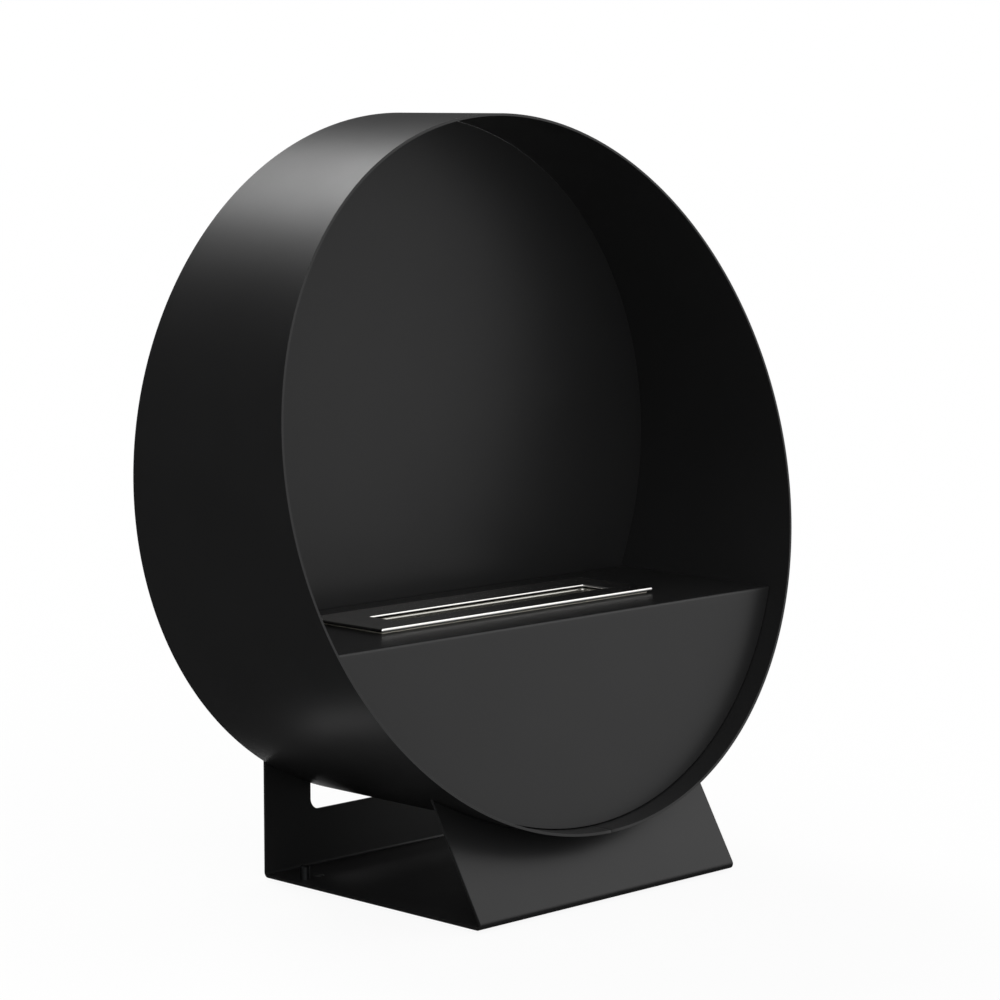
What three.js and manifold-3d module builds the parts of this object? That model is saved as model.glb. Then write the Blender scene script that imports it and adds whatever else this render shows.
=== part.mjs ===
// A free-standing bioethanol fireplace. A round drum of rolled sheet steel stands on a folded sheet foot.
// The drum's front mouth is cut on a slant. A folded sheet closes its lower part and makes the shelf that
// holds a stainless steel burner, which lifts out.
//
// Millimetres. +X is right, +Y is back and +Z is up. The pieces are drawn round the drum's axis, which
// runs along Y, with y = 0 where the slanted mouth crosses the axis. The finished object is then set
// down with its origin on the floor, under the middle of its width and depth.

import * as THREE from 'three';
import { mergeVertices } from 'three/addons/utils/BufferGeometryUtils.js';
import Module from 'manifold-3d';

const wasm = await Module();
wasm.setup();

// ---- Clearances -------------------------------------------------------------------------------------
const seat = 0.3; // between a piece and what it rests on or is clamped to
const boltClearance = 0.3; // round a shank in its hole
const hearthEdgeGap = 1.3; // between the hearth sheet's cut edges and the drum
const overrun = 3; // of a cutter past the faces that it cuts

// ---- Drum -------------------------------------------------------------------------------------------
const drumRadius = 400;
const drumSheet = 3;
const drumDepth = 255.4; // from the mouth to the back edge, along the axis
const mouthLean = 12.66; // degrees that the mouth leans back from the vertical
const drumFacets = 96;

// ---- Back panel and its tabs ------------------------------------------------------------------------
const backPanelRecess = 20.4; // from the drum's back edge to the panel's rear face
const backPanelSheet = 2;
const backTabCount = 6;
const tabSheet = 2;
const tabWidth = 36;
const tabReach = 30; // from the drum's wall towards the axis
const tabFoot = 14; // along the drum's wall
const weldStudInset = 20; // from the drum's wall to the stud's axis

// ---- Hearth sheet: front panel, shelf and rear lip in one fold ---------------------------------------
const hearthSheet = 2;
const hearthBend = 2; // inside radius
const hearthDrop = 166.8; // from the drum's axis down to the shelf's top
const frontPanelInset = 23; // behind the mouth, measured on the axis
const frontPanelLean = 11.85; // degrees from the vertical
const rearLipHeight = 22;

// ---- Shelf supports and panel tabs ------------------------------------------------------------------
const supportReach = 30; // of the level leg, from the drum's wall
const supportDrop = 26; // of the leg on the wall
const supportEndGap = 8; // from the supports' ends to the folds
const shelfStudInset = 14; // from the shelf's cut end to the stud's axis
const shelfStudSetback = 39.3; // from the supports' ends to the studs
const panelTabSpread = 18; // degrees either side of the drum's lowest point

// ---- Burner -----------------------------------------------------------------------------------------
const plateLength = 440;
const plateWidth = 120;
const plateSheet = 2.5;
const plateRim = 4.6; // height of the turned-down edge
const plateCorner = 1.5;
const plateRise = 7; // from the shelf's top to the plate's top
const plateFootRadius = 5; // pressed feet that keep the plate off the tank's flange
const plateFootInset = 16; // from the plate's edges
const slotLength = 347;
const slotWidth = 42;
const slotCorner = 1;
const slotOffsetX = 4; // from the plate's middle
const slotOffsetY = -6;
const gasketSheet = 0.8;
const gasketWidth = 10;
const burnerSheet = 0.8;
const flangeInset = 5; // of both flanges, inside the plate's edge
const boxEndAir = 19.1; // least gap between the walls of the box and the tank, at the ends
const boxSideAir = 13.6; // the same at the sides
const boxUnderAir = 14.5; // the same under the tank
const boxCorner = 6;
const boxLipBend = 1.6; // outside radius, from the box's wall to its flange
const cutoutClearance = 2; // between the box and the shelf's cut-out
const tankMargin = 1.8; // from the slot's edge to the tank's inner wall
const tankDepth = 50;
const tankCorner = 4;
const tankLipBend = 3.2; // outside radius, from the tank's wall to its flange
const tankLipDrop = 0.8; // of the lip below the flange, so that spilled fuel runs back
const tankLipReach = 9; // from the tank's wall to where its flange starts to fall
const trayBend = 0.6; // inside radius round the floors of the tank and the box
const padHeight = 28;
const padClearance = 0.7;
const grateSheet = 1;
const grateEdge = 7; // plain border of the grate
const gratePitchX = 13.4;
const gratePitchY = 9;
const grateSlotLength = 9;
const grateSlotWidth = 4;
const grateSlotCorner = 1.6;

// ---- Stand: base, front flange and rear plate in one fold --------------------------------------------
const standWidth = 414;
const flangeSet = 9.6; // from the front panel to the flange, where it reaches the drum's lowest point
const standDrop = 76.1; // from the drum's lowest point to the base's underside
const standSheet = 3;
const standBend = 3; // inside radius
const flangeLean = 30.75; // degrees that the front flange leans back from the vertical
const rearStandOff = 7; // between the drum's back edge and the rear plate
const earWidth = 69.5; // of the rear plate, either side of its cut-out
const windowSill = 68.6; // above the base's underside
const windowCorner = 14;
const earTop = 82; // above the drum's lowest point
const earCorner = 12;

// ---- Joints between drum and stand ------------------------------------------------------------------
const saddleSpread = 14.5; // degrees either side of the drum's lowest point
const saddleWidth = 56;
const saddleSheet = 2;
const saddleReach = 42; // along the drum, behind the flange
const saddleBoltSet = 25.2; // from the flange to the bolt's axis, along the drum
const saddleDrop = 36; // down the flange
const rearBoltInset = 38.8; // from the stand's side
const spacerRadius = 7;

// ---- Feet -------------------------------------------------------------------------------------------
const footStudRadius = 5.75;
const footStudRise = 15; // above the base
const footPadRadius = 9;
const footPadHeight = 3;
const footChamfer = 0.8;
const footClearance = 0.25; // round the stud in the base
const footInset = 48; // from the base's front and rear edges
const rearFootSideInset = 20; // from the base's side edges
const frontFootSideInset = 57;
const fixingHoleRadius = 5; // spare floor fixing holes beside the feet, each closed by a push-in plug
const fixingHoleStep = 21; // from the stud's axis, towards the middle
const plugHeadRadius = 6.25;
const plugHeadHeight = 1.5;
const plugClearance = 0.3; // round its shank in the hole
const plugStickOut = 1.2; // of its shank, below the base

// ---- Fasteners --------------------------------------------------------------------------------------
const studRadius = 2.5; // M5 weld studs
const studNutWidth = 8; // across flats
const studNutHeight = 4;
const boltRadius = 3; // M6 bolts
const boltHeadWidth = 10;
const boltHeadHeight = 4;
const boltNutHeight = 5;
const threadEnd = 2; // that a stud or bolt stands out of its nut
const roundFacets = 12;

// ---- Values worked out from those above --------------------------------------------------------------
const rad = THREE.MathUtils.degToRad;
const far = 4 * drumRadius; // reach of the cutting solids
const innerRadius = drumRadius - drumSheet;
const wallRadius = innerRadius - seat; // of pieces that lie on the drum's inner wall
const mouthSlope = Math.tan(rad(mouthLean));
const panelSlope = Math.tan(rad(frontPanelLean));
const flangeSlope = Math.tan(rad(flangeLean));
const studAxisRadius = innerRadius - weldStudInset;
const backPanelRear = drumDepth - backPanelRecess;
const backPanelFront = backPanelRear - backPanelSheet;
const hearthTop = -hearthDrop;
const hearthRadius = innerRadius - hearthEdgeGap;
const shelfRear = backPanelFront - seat;
const panelTopY = frontPanelInset + panelSlope * hearthTop;
const baseBottom = -drumRadius - standDrop;
const baseTop = baseBottom + standSheet;
const standRear = drumDepth + rearStandOff + standSheet;
const panelThrough = hearthSheet / Math.cos(rad(frontPanelLean)); // the sheet, measured along Y
const panelFootY = frontPanelInset - panelSlope * drumRadius + panelThrough;
const standFront = panelFootY + flangeSet - flangeSlope * standDrop;
const floor = baseBottom - seat - footPadHeight;
const down = -90; // degrees, the drum's lowest point as an angle from +X towards +Z
const frontPanelY = (z) => frontPanelInset + panelSlope * z;
const flangeThrough = standSheet / Math.cos(rad(flangeLean)); // the sheet, measured along Y
const flangeInnerY = (z) => standFront + flangeSlope * (z - baseBottom) + flangeThrough;
const burnerY = (panelTopY + shelfRear) / 2;
const tankLength = slotLength + 2 * tankMargin; // inside
const tankWidth = slotWidth + 2 * tankMargin;
const boxLength = tankLength + 2 * (2 * burnerSheet + boxEndAir + Math.abs(slotOffsetX)); // outside
const boxWidth = tankWidth + 2 * (2 * burnerSheet + boxSideAir + Math.abs(slotOffsetY));

// ---- Finishes ---------------------------------------------------------------------------------------
const blackCoat = { color: 0x1c1c1d, roughness: 0.42, metalness: 0.0 };
const stainless = { color: 0xc8c8c4, roughness: 0.24, metalness: 1.0 };
const zinc = { color: 0xa6a8aa, roughness: 0.38, metalness: 1.0 };
const blackZinc = { color: 0x2a2b2d, roughness: 0.4, metalness: 1.0 };
const blackPlastic = { color: 0x141414, roughness: 0.5, metalness: 0.0 };
const glassFibre = { color: 0xd6d1c4, roughness: 0.9, metalness: 0.0 };
const ceramic = { color: 0xe9e4d8, roughness: 0.95, metalness: 0.0 };

// ---- Outlines ---------------------------------------------------------------------------------------

// A closed outline through the corners [x, y, radius], each rounded by an arc of its own radius.
function rounded(corners, steps = 6) {
  const points = [];
  corners.forEach(([x, y, radius = 0], i) => {
    const corner = new THREE.Vector2(x, y);
    if (radius <= 0) {
      points.push(corner);
      return;
    }
    const [beforeX, beforeY] = corners[(i + corners.length - 1) % corners.length];
    const [afterX, afterY] = corners[(i + 1) % corners.length];
    const toBefore = new THREE.Vector2(beforeX, beforeY).sub(corner).normalize();
    const toAfter = new THREE.Vector2(afterX, afterY).sub(corner).normalize();
    const half = Math.acos(THREE.MathUtils.clamp(toBefore.dot(toAfter), -1, 1)) / 2;
    const middle = toBefore.clone().add(toAfter).normalize();
    const centre = corner.clone().addScaledVector(middle, radius / Math.sin(half));
    const start = corner.clone().addScaledVector(toBefore, radius / Math.tan(half)).sub(centre);
    const turn = Math.sign(toBefore.cross(toAfter)) * (Math.PI - 2 * half);
    for (let step = 0; step <= steps; step += 1) {
      points.push(start.clone().rotateAround(new THREE.Vector2(), -turn * (step / steps)).add(centre));
    }
  });
  return points;
}

function rectangle(x0, y0, x1, y1, radius = 0, steps = 4) {
  return rounded([[x0, y0, radius], [x1, y0, radius], [x1, y1, radius], [x0, y1, radius]], steps);
}

function centredRectangle(length, width, radius = 0, x = 0, y = 0) {
  return rectangle(x - length / 2, y - width / 2, x + length / 2, y + width / 2, radius);
}

function circle(radius, facets, x = 0, y = 0) {
  const points = [];
  for (let i = 0; i < facets; i += 1) {
    const angle = (2 * Math.PI * i) / facets;
    points.push(new THREE.Vector2(x + radius * Math.cos(angle), y + radius * Math.sin(angle)));
  }
  return points;
}

function hexagon(acrossFlats) {
  return circle(acrossFlats / Math.sqrt(3), 6);
}

// A stretch of a ring between two radii, centred on an angle in degrees, as wide as the given length.
function ringStretch(inner, outer, angle, width, steps = 5) {
  const half = width / outer / 2;
  const points = [];
  for (let step = 0; step <= steps; step += 1) {
    const a = rad(angle) - half + (2 * half * step) / steps;
    points.push(new THREE.Vector2(outer * Math.cos(a), outer * Math.sin(a)));
  }
  for (let step = steps; step >= 0; step -= 1) {
    const a = rad(angle) - half + (2 * half * step) / steps;
    points.push(new THREE.Vector2(inner * Math.cos(a), inner * Math.sin(a)));
  }
  return points;
}

// The section of a folded sheet. The path runs along its outer faces, with the sheet on its right.
function foldedSheet(path, sheet, insideRadius) {
  const points = path.map(([x, y]) => new THREE.Vector2(x, y));
  const rightOf = (a, b) => {
    const along = b.clone().sub(a).normalize();
    return new THREE.Vector2(along.y, -along.x);
  };
  const outer = [];
  const inner = [];
  points.forEach((point, i) => {
    const before = i > 0 ? rightOf(points[i - 1], point) : null;
    const after = i < points.length - 1 ? rightOf(point, points[i + 1]) : null;
    if (!before || !after) {
      const end = point.clone().addScaledVector(before ?? after, sheet);
      outer.push([point.x, point.y, 0]);
      inner.push([end.x, end.y, 0]);
      return;
    }
    const mitre = before.clone().add(after).multiplyScalar(sheet / (1 + before.dot(after))).add(point);
    outer.push([point.x, point.y, insideRadius + sheet]);
    inner.push([mitre.x, mitre.y, insideRadius]);
  });
  return rounded([...outer, ...inner.reverse()]);
}

// ---- Solids -----------------------------------------------------------------------------------------

function toSolid(geometry) {
  geometry.deleteAttribute('normal');
  geometry.deleteAttribute('uv');
  const merged = mergeVertices(geometry);
  return new wasm.Manifold(new wasm.Mesh({
    numProp: 3,
    vertProperties: new Float32Array(merged.attributes.position.array),
    triVerts: new Uint32Array(merged.index.array),
  }));
}

function toGeometry(solid) {
  const mesh = solid.getMesh();
  const geometry = new THREE.BufferGeometry();
  geometry.setAttribute('position', new THREE.BufferAttribute(mesh.vertProperties, 3));
  geometry.setIndex(new THREE.BufferAttribute(mesh.triVerts, 1));
  geometry.computeVertexNormals();
  return geometry;
}

const axisX = new THREE.Vector3(1, 0, 0);
const axisY = new THREE.Vector3(0, 1, 0);
const axisZ = new THREE.Vector3(0, 0, 1);

function prism(outline, holes, depth) {
  const shape = new THREE.Shape(outline);
  holes.forEach((hole) => shape.holes.push(new THREE.Path(hole)));
  return new THREE.ExtrudeGeometry(shape, { depth, bevelEnabled: false });
}

// An outline in Y and Z, pulled along X.
function alongX(outline, x0, x1, holes = []) {
  const geometry = prism(outline, holes, x1 - x0);
  geometry.applyMatrix4(new THREE.Matrix4().makeBasis(axisY, axisZ, axisX));
  return toSolid(geometry.translate(x0, 0, 0));
}

// An outline in X and Z, pulled along Y.
function alongY(outline, y0, y1, holes = []) {
  const geometry = prism(outline, holes, y1 - y0);
  geometry.applyMatrix4(new THREE.Matrix4().makeBasis(axisX, axisZ, axisY.clone().negate()));
  return toSolid(geometry.translate(0, y1, 0));
}

// An outline in X and Y, pulled along Z.
function alongZ(outline, z0, z1, holes = []) {
  return toSolid(prism(outline, holes, z1 - z0).translate(0, 0, z0));
}

// A closed solid through outlines of as many points each, as [outline, z], with a cap at either end.
function loft(rings) {
  const count = rings[0][0].length;
  const last = (rings.length - 1) * count;
  const index = [];
  for (let ring = 0; ring < last; ring += count) {
    for (let i = 0; i < count; i += 1) {
      const here = ring + i;
      const next = ring + ((i + 1) % count);
      index.push(here, next, next + count);
      index.push(here, next + count, here + count);
    }
  }
  for (let i = 1; i + 1 < count; i += 1) {
    index.push(0, i + 1, i);
    index.push(last, last + i, last + i + 1);
  }
  const places = rings.flatMap(([outline, z]) => outline.flatMap((point) => [point.x, point.y, z]));
  const geometry = new THREE.BufferGeometry();
  geometry.setAttribute('position', new THREE.Float32BufferAttribute(places, 3));
  geometry.setIndex(index);
  return toSolid(geometry);
}

// A round bar from one point to another.
function bar(from, to, radius, facets = roundFacets) {
  const length = from.distanceTo(to);
  const geometry = new THREE.CylinderGeometry(radius, radius, length, facets);
  const along = to.clone().sub(from).normalize();
  geometry.applyQuaternion(new THREE.Quaternion().setFromUnitVectors(axisY, along));
  const middle = from.clone().lerp(to, 0.5);
  return toSolid(geometry.translate(middle.x, middle.y, middle.z));
}

// All that lies in front of a plane that crosses the axis at y = inset and leans back by the slope.
function inFrontOf(inset, slope) {
  return alongX([
    new THREE.Vector2(inset - slope * far, -far),
    new THREE.Vector2(inset + slope * far, far),
    new THREE.Vector2(-2 * far, far),
    new THREE.Vector2(-2 * far, -far),
  ], -far, far);
}

function drumCore(radius) {
  return alongY(circle(radius, drumFacets), -far, far);
}

// ---- Placing ----------------------------------------------------------------------------------------

const fireplace = new THREE.Group();
const housing = new THREE.Group();
const burner = new THREE.Group();
burner.position.set(0, burnerY, hearthTop);
fireplace.add(housing, burner);

function place(group, name, solid, finish) {
  const mesh = new THREE.Mesh(toGeometry(solid), new THREE.MeshStandardMaterial(finish));
  mesh.name = name;
  group.add(mesh);
  return mesh;
}

// A point at a radius and an angle round the drum's axis.
function onDrum(radius, angle, y = 0) {
  return new THREE.Vector3(radius * Math.cos(rad(angle)), y, radius * Math.sin(rad(angle)));
}

// Turns a mesh that is drawn at the drum's lowest point to another angle round the axis.
function turnTo(mesh, angle) {
  mesh.rotation.y = rad(down - angle);
}

// Nuts and bolts are drawn on +Z, from the face that they bear on.
function nut(threadRadius, acrossFlats, height) {
  return alongZ(hexagon(acrossFlats), 0, height, [circle(threadRadius + boltClearance, roundFacets)]);
}

function studNut() {
  return nut(studRadius, studNutWidth, studNutHeight);
}

function boltNut() {
  return nut(boltRadius, boltHeadWidth, boltNutHeight);
}

function bolt(grip) {
  const shank = alongZ(circle(boltRadius, roundFacets), -grip, 0.5 * boltHeadHeight);
  return alongZ(hexagon(boltHeadWidth), 0, boltHeadHeight).add(shank);
}

function placeOn(mesh, point, direction) {
  mesh.position.copy(point);
  mesh.quaternion.setFromUnitVectors(axisZ, direction);
}

const sides = [['left', -1], ['right', 1]];

// ---- Drum shell -------------------------------------------------------------------------------------

// Where a saddle's bolt crosses the drum: on the middle of the saddle's leg.
const saddleLowZ = -drumRadius * Math.cos(rad(saddleSpread));
const saddleBoltY = flangeInnerY(saddleLowZ) + saddleBoltSet;
const saddleAngles = sides.map(([side, sign]) => [side, down + sign * saddleSpread]);
const rearTabSpread = THREE.MathUtils.radToDeg(Math.asin((standWidth / 2 - rearBoltInset) / studAxisRadius));
const rearTabAngles = sides.map(([side, sign]) => [side, down + sign * rearTabSpread]);

function drumShell() {
  const ring = alongY(circle(drumRadius, drumFacets), -far, drumDepth, [circle(innerRadius, drumFacets)]);
  let shell = ring.subtract(inFrontOf(0, mouthSlope));
  for (const [, angle] of saddleAngles) {
    const inside = onDrum(innerRadius - overrun, angle, saddleBoltY);
    const outside = onDrum(drumRadius + overrun, angle, saddleBoltY);
    shell = shell.subtract(bar(inside, outside, boltRadius + boltClearance));
  }
  return shell;
}
place(housing, 'drum_shell', drumShell(), blackCoat);

// ---- Back panel with its weld studs, tabs and nuts ----------------------------------------------------

const studGrip = seat + tabSheet + seat + studNutHeight + threadEnd; // from the panel to the stud's end
const backTabAngles = Array.from({ length: backTabCount }, (_, i) => down + (i * 360) / backTabCount);

function backPanel() {
  let panel = alongY(circle(wallRadius, drumFacets), backPanelFront, backPanelRear);
  for (const angle of backTabAngles) {
    const root = onDrum(studAxisRadius, angle, backPanelRear - 0.5 * backPanelSheet);
    const tip = onDrum(studAxisRadius, angle, backPanelRear + studGrip);
    panel = panel.add(bar(root, tip, studRadius));
  }
  return panel;
}
place(housing, 'back_panel', backPanel(), blackCoat);

// An angle tab at the drum's lowest point: a foot along the wall and a leg square to the axis.
function wallTab(legFront, legRear, footFront, footRear, holeRadius) {
  const leg = alongY(ringStretch(innerRadius - tabReach, wallRadius, down, tabWidth), legFront, legRear);
  const foot = alongY(ringStretch(wallRadius - tabSheet, wallRadius, down, tabWidth), footFront, footRear);
  const holeFront = onDrum(studAxisRadius, down, legFront - overrun);
  const holeRear = onDrum(studAxisRadius, down, legRear + overrun);
  return leg.add(foot).subtract(bar(holeFront, holeRear, holeRadius));
}

const backTabFront = backPanelRear + seat;
backTabAngles.forEach((angle, i) => {
  const tabSolid = wallTab(
    backTabFront,
    backTabFront + tabSheet,
    backTabFront,
    backTabFront + tabFoot,
    studRadius + boltClearance,
  );
  const tab = place(housing, `back_tab_${i + 1}`, tabSolid, blackCoat);
  turnTo(tab, angle);
  const tabNut = place(housing, `back_tab_nut_${i + 1}`, studNut(), zinc);
  placeOn(tabNut, onDrum(studAxisRadius, angle, backTabFront + tabSheet + seat), axisY);
});

// ---- Hearth sheet -----------------------------------------------------------------------------------

const shelfHalf = Math.sqrt(hearthRadius ** 2 - hearthDrop ** 2);
const shelfStudX = shelfHalf - shelfStudInset;
const supportFront = panelTopY + supportEndGap;
const supportRear = shelfRear - supportEndGap;
const shelfStudPlaces = sides.flatMap(([side, sign]) => [
  [`${side}_front`, sign * shelfStudX, supportFront + shelfStudSetback],
  [`${side}_rear`, sign * shelfStudX, supportRear - shelfStudSetback],
]);
const shelfUnder = hearthTop - hearthSheet;
const panelNormal = new THREE.Vector3(0, 1, -panelSlope).normalize();

// The place of a weld stud on the front panel's rear face, at an angle round the drum.
function panelStudRoot(angle) {
  const root = onDrum(studAxisRadius, angle);
  root.y = frontPanelY(root.z) + panelThrough;
  return root;
}

function hearthSolid() {
  const panelFoot = -drumRadius;
  const section = foldedSheet([
    [frontPanelY(panelFoot), panelFoot],
    [panelTopY, hearthTop],
    [shelfRear, hearthTop],
    [shelfRear, hearthTop - rearLipHeight],
  ], hearthSheet, hearthBend);
  let sheet = alongX(section, -drumRadius, drumRadius).intersect(drumCore(hearthRadius));
  const cutout = centredRectangle(
    boxLength + 2 * cutoutClearance,
    boxWidth + 2 * cutoutClearance,
    boxCorner + cutoutClearance,
    0,
    burnerY,
  );
  sheet = sheet.subtract(alongZ(cutout, shelfUnder - overrun, hearthTop + overrun));
  for (const [, x, y] of shelfStudPlaces) {
    const root = new THREE.Vector3(x, y, hearthTop - 0.5 * hearthSheet);
    const tip = new THREE.Vector3(x, y, shelfUnder - studGrip);
    sheet = sheet.add(bar(root, tip, studRadius));
  }
  for (const [, sign] of sides) {
    const face = panelStudRoot(down + sign * panelTabSpread);
    const root = face.clone().addScaledVector(panelNormal, -0.5 * hearthSheet);
    const tip = face.clone().addScaledVector(panelNormal, studGrip);
    sheet = sheet.add(bar(root, tip, studRadius));
  }
  return sheet;
}
place(housing, 'hearth_sheet', hearthSolid(), blackCoat);

// ---- Shelf supports: angles on the drum's wall, under the shelf's ends ---------------------------------

const supportTop = shelfUnder - seat;

function shelfSupport(side, sign) {
  const legEnd = Math.sqrt(wallRadius ** 2 - supportTop ** 2) - supportReach;
  // The stretch between two distances from the middle plane, on this support's side, down to a depth.
  const slab = (near, depth) => {
    const [x0, x1] = [sign * near, sign * far].sort((a, b) => a - b);
    return alongY(rectangle(x0, supportTop - depth, x1, supportTop), supportFront, supportRear);
  };
  const ring = drumCore(wallRadius).subtract(drumCore(wallRadius - tabSheet));
  const leg = slab(legEnd, tabSheet).intersect(drumCore(wallRadius));
  let support = leg.add(slab(0, supportDrop).intersect(ring));
  for (const [name, x, y] of shelfStudPlaces) {
    if (name.startsWith(side)) {
      const top = new THREE.Vector3(x, y, supportTop + overrun);
      const bottom = new THREE.Vector3(x, y, supportTop - tabSheet - overrun);
      support = support.subtract(bar(top, bottom, studRadius + boltClearance));
    }
  }
  return support;
}

for (const [side, sign] of sides) {
  place(housing, `shelf_support_${side}`, shelfSupport(side, sign), blackCoat);
}
for (const [name, x, y] of shelfStudPlaces) {
  const shelfNut = place(housing, `shelf_nut_${name}`, studNut(), zinc);
  placeOn(shelfNut, new THREE.Vector3(x, y, supportTop - tabSheet - seat), axisZ.clone().negate());
}

// ---- Tabs and nuts behind the front panel's lower edge -------------------------------------------------

function panelTab(angle) {
  const rearFace = frontPanelInset + panelThrough; // of the panel, on the drum's axis
  const seatThrough = seat / Math.cos(rad(frontPanelLean));
  const tabThrough = tabSheet / Math.cos(rad(frontPanelLean));
  const legFront = inFrontOf(rearFace + seatThrough, panelSlope);
  const legRear = inFrontOf(rearFace + seatThrough + tabThrough, panelSlope);
  const footRear = inFrontOf(rearFace + seatThrough + tabFoot, panelSlope);
  const leg = alongY(ringStretch(innerRadius - tabReach, wallRadius, angle, tabWidth), -far, far);
  const foot = alongY(ringStretch(wallRadius - tabSheet, wallRadius, angle, tabWidth), -far, far);
  const root = panelStudRoot(angle);
  const hole = bar(
    root.clone().addScaledVector(panelNormal, -overrun),
    root.clone().addScaledVector(panelNormal, seat + tabSheet + overrun),
    studRadius + boltClearance,
  );
  return leg.intersect(legRear).add(foot.intersect(footRear)).subtract(legFront).subtract(hole);
}

for (const [side, sign] of sides) {
  const angle = down + sign * panelTabSpread;
  place(housing, `panel_tab_${side}`, panelTab(angle), blackCoat);
  const tabNut = place(housing, `panel_nut_${side}`, studNut(), zinc);
  const face = panelStudRoot(angle).addScaledVector(panelNormal, seat + tabSheet + seat);
  placeOn(tabNut, face, panelNormal);
}

// ---- Stand ------------------------------------------------------------------------------------------

const footPlaces = sides.flatMap(([side, sign]) => [
  [`front_${side}`, sign * (standWidth / 2 - frontFootSideInset), standFront + footInset, sign],
  [`rear_${side}`, sign * (standWidth / 2 - rearFootSideInset), standRear - footInset, sign],
]);
const earTopZ = -drumRadius + earTop;
const windowSillZ = baseBottom + windowSill;

function standSolid() {
  const flangeTop = earTopZ;
  const section = foldedSheet([
    [standRear, earTopZ],
    [standRear, baseBottom],
    [standFront, baseBottom],
    [standFront + flangeSlope * (flangeTop - baseBottom), flangeTop],
  ], standSheet, standBend);
  let stand = alongX(section, -standWidth / 2, standWidth / 2);
  const drumSpace = alongY(circle(drumRadius + seat, drumFacets), -far, drumDepth + 0.5 * rearStandOff);
  stand = stand.subtract(drumSpace);
  const halfWidth = standWidth / 2;
  const halfWindow = halfWidth - earWidth;
  const kept = rounded([
    [-halfWidth - seat, -far],
    [halfWidth + seat, -far],
    [halfWidth + seat, earTopZ, earCorner],
    [halfWindow, earTopZ, earCorner],
    [halfWindow, windowSillZ, windowCorner],
    [-halfWindow, windowSillZ, windowCorner],
    [-halfWindow, earTopZ, earCorner],
    [-halfWidth - seat, earTopZ, earCorner],
  ]);
  const waste = alongY(rectangle(-far, -2 * far, far, far), standRear - standSheet - overrun, far, [kept]);
  stand = stand.subtract(waste);
  for (const [, x, y, sign] of footPlaces) {
    const holes = [[x, footStudRadius + footClearance], [x - sign * fixingHoleStep, fixingHoleRadius]];
    for (const [holeX, radius] of holes) {
      const top = new THREE.Vector3(holeX, y, baseTop + overrun);
      const bottom = new THREE.Vector3(holeX, y, baseBottom - overrun);
      stand = stand.subtract(bar(bottom, top, radius, 2 * roundFacets));
    }
  }
  for (const [, angle] of rearTabAngles) {
    const front = onDrum(studAxisRadius, angle, standRear - standSheet - overrun);
    const rear = onDrum(studAxisRadius, angle, standRear + overrun);
    stand = stand.subtract(bar(front, rear, boltRadius + boltClearance));
  }
  return stand;
}
place(housing, 'stand_frame', standSolid(), blackCoat);

// ---- Front saddles: welded behind the flange and bolted to the drum's underside ------------------------

const saddleRadius = drumRadius + seat;

function frontSaddle(angle) {
  const saddleFace = flangeInnerY(0) + seat / Math.cos(rad(flangeLean));
  const legThrough = saddleSheet / Math.cos(rad(flangeLean));
  const behindFlange = inFrontOf(saddleFace, flangeSlope);
  const legRear = inFrontOf(saddleFace + legThrough, flangeSlope);
  const strapRear = inFrontOf(saddleFace + saddleReach, flangeSlope);
  const strap = alongY(ringStretch(saddleRadius, saddleRadius + saddleSheet, angle, saddleWidth), -far, far);
  const leg = alongY(ringStretch(saddleRadius, saddleRadius + saddleDrop, angle, saddleWidth), -far, far);
  const inside = onDrum(drumRadius - overrun, angle, saddleBoltY);
  const outside = onDrum(saddleRadius + saddleSheet + overrun, angle, saddleBoltY);
  return strap.intersect(strapRear)
    .add(leg.intersect(legRear))
    .subtract(behindFlange)
    .subtract(bar(inside, outside, boltRadius + boltClearance));
}

for (const [side, angle] of saddleAngles) {
  place(housing, `front_saddle_${side}`, frontSaddle(angle), blackCoat);
  const outward = onDrum(1, angle);
  const headRadius = saddleRadius + saddleSheet + seat;
  const nutRadius = innerRadius - seat;
  const grip = headRadius - nutRadius + boltNutHeight + threadEnd;
  const saddleBolt = place(housing, `saddle_bolt_${side}`, bolt(grip), zinc);
  placeOn(saddleBolt, onDrum(headRadius, angle, saddleBoltY), outward);
  const saddleNut = place(housing, `saddle_nut_${side}`, boltNut(), zinc);
  placeOn(saddleNut, onDrum(nutRadius, angle, saddleBoltY), outward.clone().negate());
}

// ---- Rear tabs, spacers and bolts: the stand's ears on the drum's back ---------------------------------

const rearTabRear = drumDepth - seat;

for (const [side, angle] of rearTabAngles) {
  const tabSolid = wallTab(
    rearTabRear - tabSheet,
    rearTabRear,
    rearTabRear - tabFoot,
    rearTabRear,
    boltRadius + boltClearance,
  );
  const tab = place(housing, `rear_tab_${side}`, tabSolid, blackCoat);
  turnTo(tab, angle);
  const spacerFront = rearTabRear + seat;
  const spacerLength = standRear - standSheet - seat - spacerFront;
  const spacerSolid = alongZ(
    circle(spacerRadius, 2 * roundFacets),
    0,
    spacerLength,
    [circle(boltRadius + boltClearance, roundFacets)],
  );
  const spacer = place(housing, `rear_spacer_${side}`, spacerSolid, zinc);
  placeOn(spacer, onDrum(studAxisRadius, angle, spacerFront), axisY);
  const headFace = standRear + seat;
  const nutFace = rearTabRear - tabSheet - seat;
  const grip = headFace - nutFace + boltNutHeight + threadEnd;
  const rearBolt = place(housing, `rear_bolt_${side}`, bolt(grip), zinc);
  placeOn(rearBolt, onDrum(studAxisRadius, angle, headFace), axisY);
  const rearNut = place(housing, `rear_nut_${side}`, boltNut(), zinc);
  placeOn(rearNut, onDrum(studAxisRadius, angle, nutFace), axisY.clone().negate());
}

// ---- Levelling feet ---------------------------------------------------------------------------------

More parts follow.
